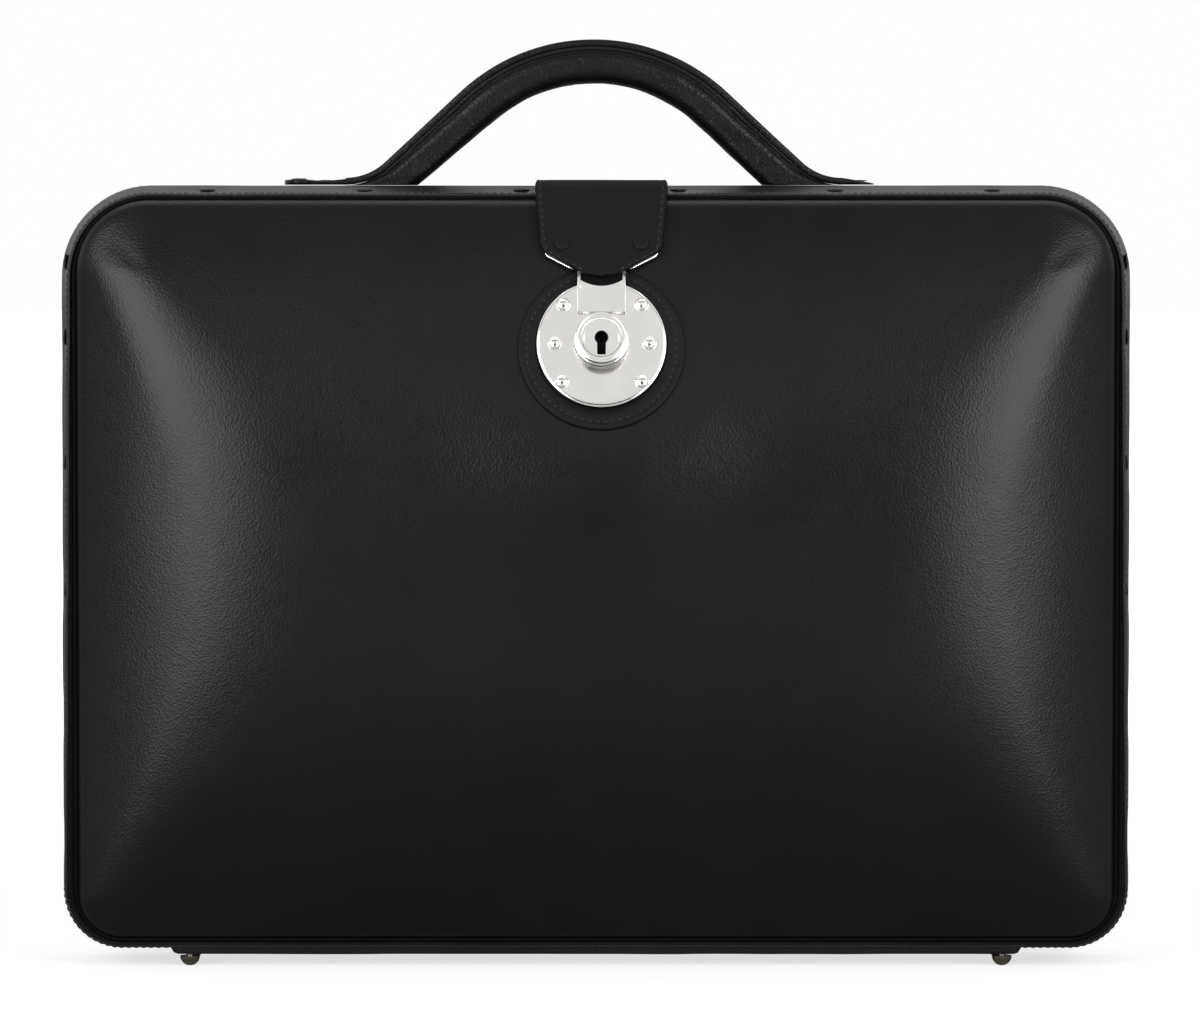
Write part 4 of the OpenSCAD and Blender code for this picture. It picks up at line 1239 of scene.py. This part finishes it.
def make_plate():
    """Slightly domed nickel plate, with its six rivets."""
    radius, low, high = 26.7 * MM, 2.1 * MM, 3.4 * MM
    bore = 8.5 * MM
    outline = [(bore, low), (bore, high)] + [
        (bore + (radius - 1.2 * MM - bore) * i / 12, high - 0.12 * MM * (i / 12) ** 2) for i in range(1, 13)
    ] + [
        (radius - 0.6 * MM, high - 0.2 * MM), (radius - 0.2 * MM, high - 0.45 * MM),
        (radius, high - 0.8 * MM), (radius, low), (bore, low)
    ]
    plate = turned("lock_plate_turned", outline, lock_matrix(), finish("nickel"), steps=160)
    settle(plate, "nickel", "lid", "lock_plate")
    bm = bmesh.new()
    for x, v in [(-15.6, 16.3), (16.4, 16.3), (-19.1, 0), (19.6, 0), (-16.2, -16.1), (16.6, -16.1)]:
        round_head(bm, lock_matrix(x * MM, v * MM, high - 0.1 * MM), 2.8 * MM, 1.6 * MM, 40, 20)
    rivets = finish_piece(bm, "lock_rivet_domes", finish("nickel"))
    settle(rivets, "nickel", "lid", "lock_rivets")


def make_boss():
    """Stepped boss turned with fine rings."""
    low, top = 3.5 * MM, 14.4 * MM
    wide, mid, bore = 11.3 * MM, 10.6 * MM, 8.26 * MM
    outline = [
        (bore, low), (wide, low), (wide, low + 1.5 * MM),
        (wide - 0.25 * MM, low + 1.7 * MM), (wide - 0.25 * MM, low + 2.1 * MM), (wide, low + 2.3 * MM),
        (wide, low + 4.1 * MM), (wide - 0.3 * MM, low + 4.5 * MM), (mid - 0.3 * MM, low + 4.6 * MM),
        (mid - 0.3 * MM, low + 5.4 * MM), (mid, low + 5.6 * MM), (mid, low + 7.6 * MM),
        (mid - 0.3 * MM, low + 7.8 * MM), (mid - 0.3 * MM, low + 8.2 * MM), (mid, low + 8.4 * MM),
        (mid, top - 0.5 * MM), (mid - 0.15 * MM, top - 0.15 * MM), (mid - 0.5 * MM, top),
        (mid - 0.8 * MM, top), (mid - 0.85 * MM, top - 0.4 * MM), (mid - 1.15 * MM, top - 0.4 * MM),
        (mid - 1.2 * MM, top), (bore + 0.15 * MM, top), (bore, top - 0.15 * MM),
        (bore, low),
    ]
    boss = turned("lock_boss_turned", outline, lock_matrix(), finish("nickel"), steps=128)
    crisp(boss)
    settle(boss, "nickel", "lid", "lock_boss")


def keyhole_reach(a):
    """Distance from the plug's middle to the keyhole's edge, a round hole with a slot below it."""
    k = bpy.context.scene.case_lock
    off = abs((a + math.pi / 2 + math.pi) % TAU - math.pi)
    if off >= math.pi / 2:
        return k.hole
    side = k.slot / 2 / max(math.sin(off), 1e-6)
    return max(k.hole, min(side, k.slot_low / math.cos(off)))


def make_plug():
    """Face of the plug, with rings turned into it and the keyhole through it, painted dark inside as shade.
    """
    radius, top, floor = 8.2 * MM, 14.6 * MM, 6.6 * MM
    rings = [(0.0, floor), (0.001 * MM, floor), (0.001 * MM, top - 0.2 * MM), (0.2 * MM, top),
             (6.9 * MM, top), (7.0 * MM, top - 0.14 * MM), (7.2 * MM, top - 0.14 * MM), (7.3 * MM, top),
             (7.9 * MM, top), (radius, top - 0.25 * MM), (radius, 4.0 * MM)]

    def place(u, v):
        a = TAU * u
        at = v * (len(rings) - 1)
        i = min(int(at + 1e-6), len(rings) - 2)
        t = at - i
        reach = keyhole_reach(a)
        ends = []
        for j, (r, h) in enumerate(rings[i:i + 2], i):
            ends.append((0.0 if j == 0 else reach + r if j < 4 else max(r, reach + 0.2 * MM), h))
        r = ends[0][0] * (1 - t) + ends[1][0] * t
        h = ends[0][1] * (1 - t) + ends[1][1] * t
        return lock_matrix() @ Vector((r * math.cos(a), r * math.sin(a), h))

    bm = draped_grid(360, len(rings) - 1, place)
    plug = finish_piece(bm, "lock_plug_turned", finish("nickel"))
    # Painted shade: faces inside the keyhole take the nearly black steel.
    plug.data.materials.append(finish("keyhole_shade_steel"))
    inward = lock_matrix().inverted()
    for poly in plug.data.polygons:
        at = inward @ poly.center
        if at.z < top - 0.21 * MM and math.hypot(at.x, at.y) < radius - 0.5 * MM:
            poly.material_index = 1
    crisp(plug)
    settle(plug, "nickel", "plug", "lock_plug")


def make_hasp():
    """Nickel plate under the tab, and its tongue: cut hollow below the tab's tip, with a dark sheet of
    painted shade in the hollow and a staple behind.
    """
    t, k = bpy.context.scene.case_tab, bpy.context.scene.case_lock
    foot_f, foot_up = flap_foot()
    half = k.tongue / 2

    def on_hasp(x, y, sink=0.0):
        slope = t.slope if y > 0 else LOCK_TILT
        forward = foot_f - y * math.sin(slope) - sink * math.cos(slope)
        return in_half("lid", LOCK_AT.x + x, foot_up + y * math.cos(slope) - sink * math.sin(slope), forward)

    def tongue(u, v):
        x = (2 * u - 1) * half
        edge = half - abs(x)
        hollow = k.hollow_y + k.hollow_r - math.sqrt(k.hollow_r ** 2 - x * x)
        top = 5.2 * MM if edge < k.horn + 1e-7 else hollow
        low = -14.4 * MM
        return on_hasp(x, low + (top - low) * v, 0.12 * MM)

    def cover(u, v):
        x = (2 * u - 1) * k.cover
        past = min(max((abs(x) - t.tip_w) / (k.cover - t.tip_w), 0.0), 1.0)
        low = k.cover_low + (t.slant_y - k.cover_show - k.cover_low) * past
        low += max(abs(x) - (k.cover - 1 * MM), 0.0) * 1.8
        return on_hasp(x, low + (k.cover_top - low) * v, 0.12 * MM)

    # Painted shade: a dark sheet behind the tongue's hollow stands for the shade below the tab's tip.
    def lining(u, v):
        x = (2 * u - 1) * (half - k.horn / 2)
        low = k.hollow_y - 2 * MM
        return on_hasp(x, low + (5 * MM - low) * v, 0.8 * MM)

    shade_sheet = finish_piece(draped_grid(12, 8, lining), "hasp_hollow_painted_shade", finish("painted_shade_leather"))
    if shade_sheet.data.polygons[0].normal.y > 0:
        shade_sheet.data.flip_normals()
    modify(shade_sheet, "thickness", "SOLIDIFY", thickness=0.5 * MM, offset=-1)
    settle(shade_sheet, "tab_leather", "tab")
    for name, shape, size in (("hasp_tongue", tongue, (49, 24)), ("hasp_cover", cover, (60, 6))):
        piece = finish_piece(draped_grid(*size, shape), name, finish("nickel"))
        mesh = piece.data
        if mesh.polygons[0].normal.y > 0:
            mesh.flip_normals()
        modify(piece, "thickness", "SOLIDIFY", thickness=1.5 * MM, offset=-1)
        modify(piece, "eased", "BEVEL", width=0.25 * MM, segments=3, limit_method="ANGLE",
               angle_limit=math.radians(50))
        settle(piece, "nickel", "tab")
    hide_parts("hasp_plate")
    bm = bmesh.new()
    low, high, wall, top = k.staple_low, k.staple_high, 1.4 * MM, 3.9 * MM
    leg = (top + k.staple_end) / 2, top - k.staple_end
    bar = k.staple_end + k.staple_floor / 2, k.staple_floor
    bars = [(low + wall / 2, wall, leg), (high - wall / 2, wall, leg), ((low + high) / 2, high - low, bar)]
    for v, tall, (middle, deep) in bars:
        size = Matrix.Diagonal((k.staple_w, tall, deep, 1))
        bmesh.ops.create_cube(bm, size=1, matrix=lock_matrix(0, v, middle) @ size)
    staple = finish_piece(bm, "hasp_staple", finish("nickel"), smooth=False)
    settle(staple, "nickel", "tab")
    bm = bmesh.new()
    normal_turn = Matrix.Rotation(math.pi / 2 - t.slope, 4, "X")
    for side in (-1, 1):
        at = on_hasp(side * k.cover_rivet_x, k.cover_rivet_y, -t.thick - 0.05 * MM)
        round_head(bm, Matrix.Translation(at) @ normal_turn, 3.3 * MM, 0.7 * MM, 40, 16)
    rivets = finish_piece(bm, "hasp_rivet_heads", finish("tab_leather"))
    settle(rivets, "tab_leather", "tab", "hasp_rivets")


def crisp(piece):
    """Keeps edges sharper than CRISP_FROM crisp under smooth shading."""
    mesh = piece.data
    mesh.polygons.foreach_set("use_smooth", [True] * len(mesh.polygons))
    mesh.set_sharp_from_angle(angle=CRISP_FROM)


class CASE_OT_lock(bpy.types.Operator):
    """Make the leather backing and the turned boss"""
    bl_idname = "case.lock"
    bl_label = "Lock"

    def execute(self, context):
        make_backing()
        make_plate()
        make_boss()
        make_plug()
        make_hasp()
        return {"FINISHED"}


# ---- Pieces kept from the frame ----

KEPT = {
    "nickel": ["rear_hinge_leaf", "lid_hinge_leaf", "handle_washers"],
    "aged_metal": ["rear_feet", "lid_feet"],
    "steel": ["rear_lip", "hinge_pin", "rear_hinge_screws", "lid_hinge_screws", "lock_case", "lock_bolt"],
    "suede": ["rear_side_lining", "lid_side_lining"],
    "hoop_wood": ["rear_frame", "lid_frame"],
    "core_cord": ["handle_core"],
}
BEVELLED = {"rear_hinge_leaf": 0.1, "lid_hinge_leaf": 0.1, "lock_case": 0.2}


class CASE_OT_hardware(bpy.types.Operator):
    """Finish the metal, wood and small leather pieces that keep their own shape"""
    bl_idname = "case.hardware"
    bl_label = "Hardware"

    def execute(self, context):
        for kind, names in KEPT.items():
            for name in names:
                piece = frame["nodes"][name]
                piece.data.materials.clear()
                piece.data.materials.append(finish(kind))
                modify(piece, "joined", "WELD", merge_threshold=1e-6)
                if name in BEVELLED:
                    modify(piece, "eased", "BEVEL", width=BEVELLED[name] * MM, segments=3,
                           limit_method="ANGLE", angle_limit=math.radians(40))
        return {"FINISHED"}


# ---- Stage ----


def lamp(name, at, aim, size, power):
    data = bpy.data.lights.new(name, "AREA")
    data.shape = "RECTANGLE"
    data.size, data.size_y = size
    data.energy = power
    made = bpy.data.objects.new(name, data)
    made.location = at
    made.rotation_euler = (Vector(aim) - Vector(at)).to_track_quat("-Z", "Y").to_euler()
    bpy.context.scene.collection.objects.link(made)
    return made


def pale_world():
    """White to the camera and in reflections, a soft grey light otherwise."""
    world = bpy.data.worlds.new("studio")
    bpy.context.scene.world = world
    world.use_nodes = True
    n, l = world.node_tree.nodes, world.node_tree.links
    back = n["Background"]
    path = n.new("ShaderNodeLightPath")
    seen = n.new("ShaderNodeMath")
    seen.operation = "MAXIMUM"
    l.new(path.outputs["Is Camera Ray"], seen.inputs[0])
    l.new(path.outputs["Is Transmission Ray"], seen.inputs[1])
    shown = n.new("ShaderNodeMath")
    shown.operation = "MAXIMUM"
    l.new(seen.outputs[0], shown.inputs[0])
    l.new(path.outputs["Is Glossy Ray"], shown.inputs[1])
    mixed = n.new("ShaderNodeMix")
    mixed.data_type = "FLOAT"
    l.new(shown.outputs[0], mixed.inputs["Factor"])
    mixed.inputs["A"].default_value = 0.5
    mixed.inputs["B"].default_value = 1.0
    l.new(mixed.outputs["Result"], back.inputs["Strength"])
    back.inputs["Color"].default_value = (1, 1, 1, 1)


class CASE_OT_stage(bpy.types.Operator):
    """Set the floor, the lamps and the camera"""
    bl_idname = "case.stage"
    bl_label = "Stage"

    def execute(self, context):
        s = context.scene.case_stage
        bm = bmesh.new()
        bmesh.ops.create_grid(bm, x_segments=1, y_segments=1, size=12)
        mat, n, l, shader = new_material("floor")
        shader.inputs["Base Color"].default_value = (*s.floor, 1)
        shader.inputs["Roughness"].default_value = 0.9
        shader.inputs["Specular IOR Level"].default_value = 0.1
        glow = n.new("ShaderNodeEmission")
        path = n.new("ShaderNodeLightPath")
        share = n.new("ShaderNodeMath")
        share.operation = "MULTIPLY"
        coord = n.new("ShaderNodeTexCoord")
        away = n.new("ShaderNodeVectorMath")
        away.operation = "LENGTH"
        l.new(coord.outputs["Object"], away.inputs[0])
        far = n.new("ShaderNodeMapRange")
        far.inputs["From Min"].default_value = 0.35
        far.inputs["From Max"].default_value = 1.5
        far.inputs["To Min"].default_value = 0.67
        far.inputs["To Max"].default_value = 1.0
        l.new(away.outputs["Value"], far.inputs["Value"])
        l.new(far.outputs["Result"], share.inputs[1])
        l.new(path.outputs["Is Camera Ray"], share.inputs[0])
        l.new(share.outputs[0], glow.inputs["Strength"])
        both = n.new("ShaderNodeAddShader")
        l.new(shader.outputs[0], both.inputs[0])
        l.new(glow.outputs[0], both.inputs[1])
        l.new(both.outputs[0], n["Material Output"].inputs["Surface"])
        floor = finish_piece(bm, "floor", mat, smooth=False)
        bm = bmesh.new()
        bmesh.ops.create_grid(bm, x_segments=1, y_segments=1, size=1)
        bmesh.ops.scale(bm, vec=(6, 3.2, 1), verts=bm.verts[:])
        upright = Matrix.Rotation(math.pi / 2, 3, "X")
        bmesh.ops.rotate(bm, cent=(0, 0, 0), matrix=upright, verts=bm.verts[:])
        bmesh.ops.translate(bm, vec=(0, -4.6, 3.2), verts=bm.verts[:])
        dark, _, _, wall_shader = new_material("dark_wall")
        wall_shader.inputs["Base Color"].default_value = (0.04, 0.04, 0.04, 1)
        wall_shader.inputs["Roughness"].default_value = 0.9
        wall = finish_piece(bm, "studio_wall", dark, smooth=False)
        middle = (0, 0, 0.17)
        for side in (-1, 1):
            name = "left_softbox" if side < 0 else "right_softbox"
            lamp(name, (side * 1.0, -1.35, 0.44), middle, (1.0, 1.3), s.side_power)
        lamp("top_softbox", (0, 0.3, 1.7), (0, 0, 0.3), (1.8, 0.8), s.top_power)
        lamp("front_softbox", (0, -2.2, 1.55), middle, (2.4, 1.2), s.front_power)
        pale_world()
        data = bpy.data.cameras.new("camera")
        data.lens = 36 * s.distance / s.field
        data.sensor_width = 36
        data.clip_end = 60
        camera = bpy.data.objects.new("camera", data)
        back, up = s.distance * math.cos(s.tilt), s.distance * math.sin(s.tilt)
        camera.location = (1.7 * MM, SPLIT_Y - back, s.aim + up)
        camera.rotation_euler = (math.pi / 2 - s.tilt, 0, 0)
        context.scene.collection.objects.link(camera)
        context.scene.camera = camera
        context.scene.view_settings.view_transform = "Standard"
        return {"FINISHED"}


class CASE_PT_sidebar(bpy.types.Panel):
    """Pieces of the briefcase"""
    bl_label = "Briefcase"
    bl_idname = "CASE_PT_sidebar"
    bl_space_type = "VIEW_3D"
    bl_region_type = "UI"
    bl_category = "Briefcase"

    def draw(self, context):
        for group in GROUPS:
            settings = getattr(context.scene, group)
            for name in settings.__annotations__:
                self.layout.prop(settings, name)
        for made in OPERATORS:
            self.layout.operator(made.bl_idname)


GROUPS = {
    "case_panel": PanelSettings,
    "case_rim": RimSettings,
    "case_stitch": StitchSettings,
    "case_handle": HandleSettings,
    "case_tab": TabSettings,
    "case_lock": LockSettings,
    "case_finish": FinishSettings,
    "case_stage": StageSettings,
}
OPERATORS = [
    CASE_OT_panels, CASE_OT_rims, CASE_OT_handle, CASE_OT_tab, CASE_OT_lock, CASE_OT_hardware, CASE_OT_stage
]


def register():
    for made in [*GROUPS.values(), *OPERATORS, CASE_PT_sidebar]:
        bpy.utils.register_class(made)
    for name, group in GROUPS.items():
        setattr(bpy.types.Scene, name, PointerProperty(type=group))


def unregister():
    for name in GROUPS:
        delattr(bpy.types.Scene, name)
    for made in [CASE_PT_sidebar, *reversed(OPERATORS), *reversed(list(GROUPS.values()))]:
        bpy.utils.unregister_class(made)


def main():
    register()
    bpy.ops.case.panels()
    bpy.ops.case.rims()
    bpy.ops.case.handle()
    bpy.ops.case.tab()
    bpy.ops.case.lock()
    bpy.ops.case.hardware()
    bpy.ops.case.stage()


if __name__ == "__main__":
    main()
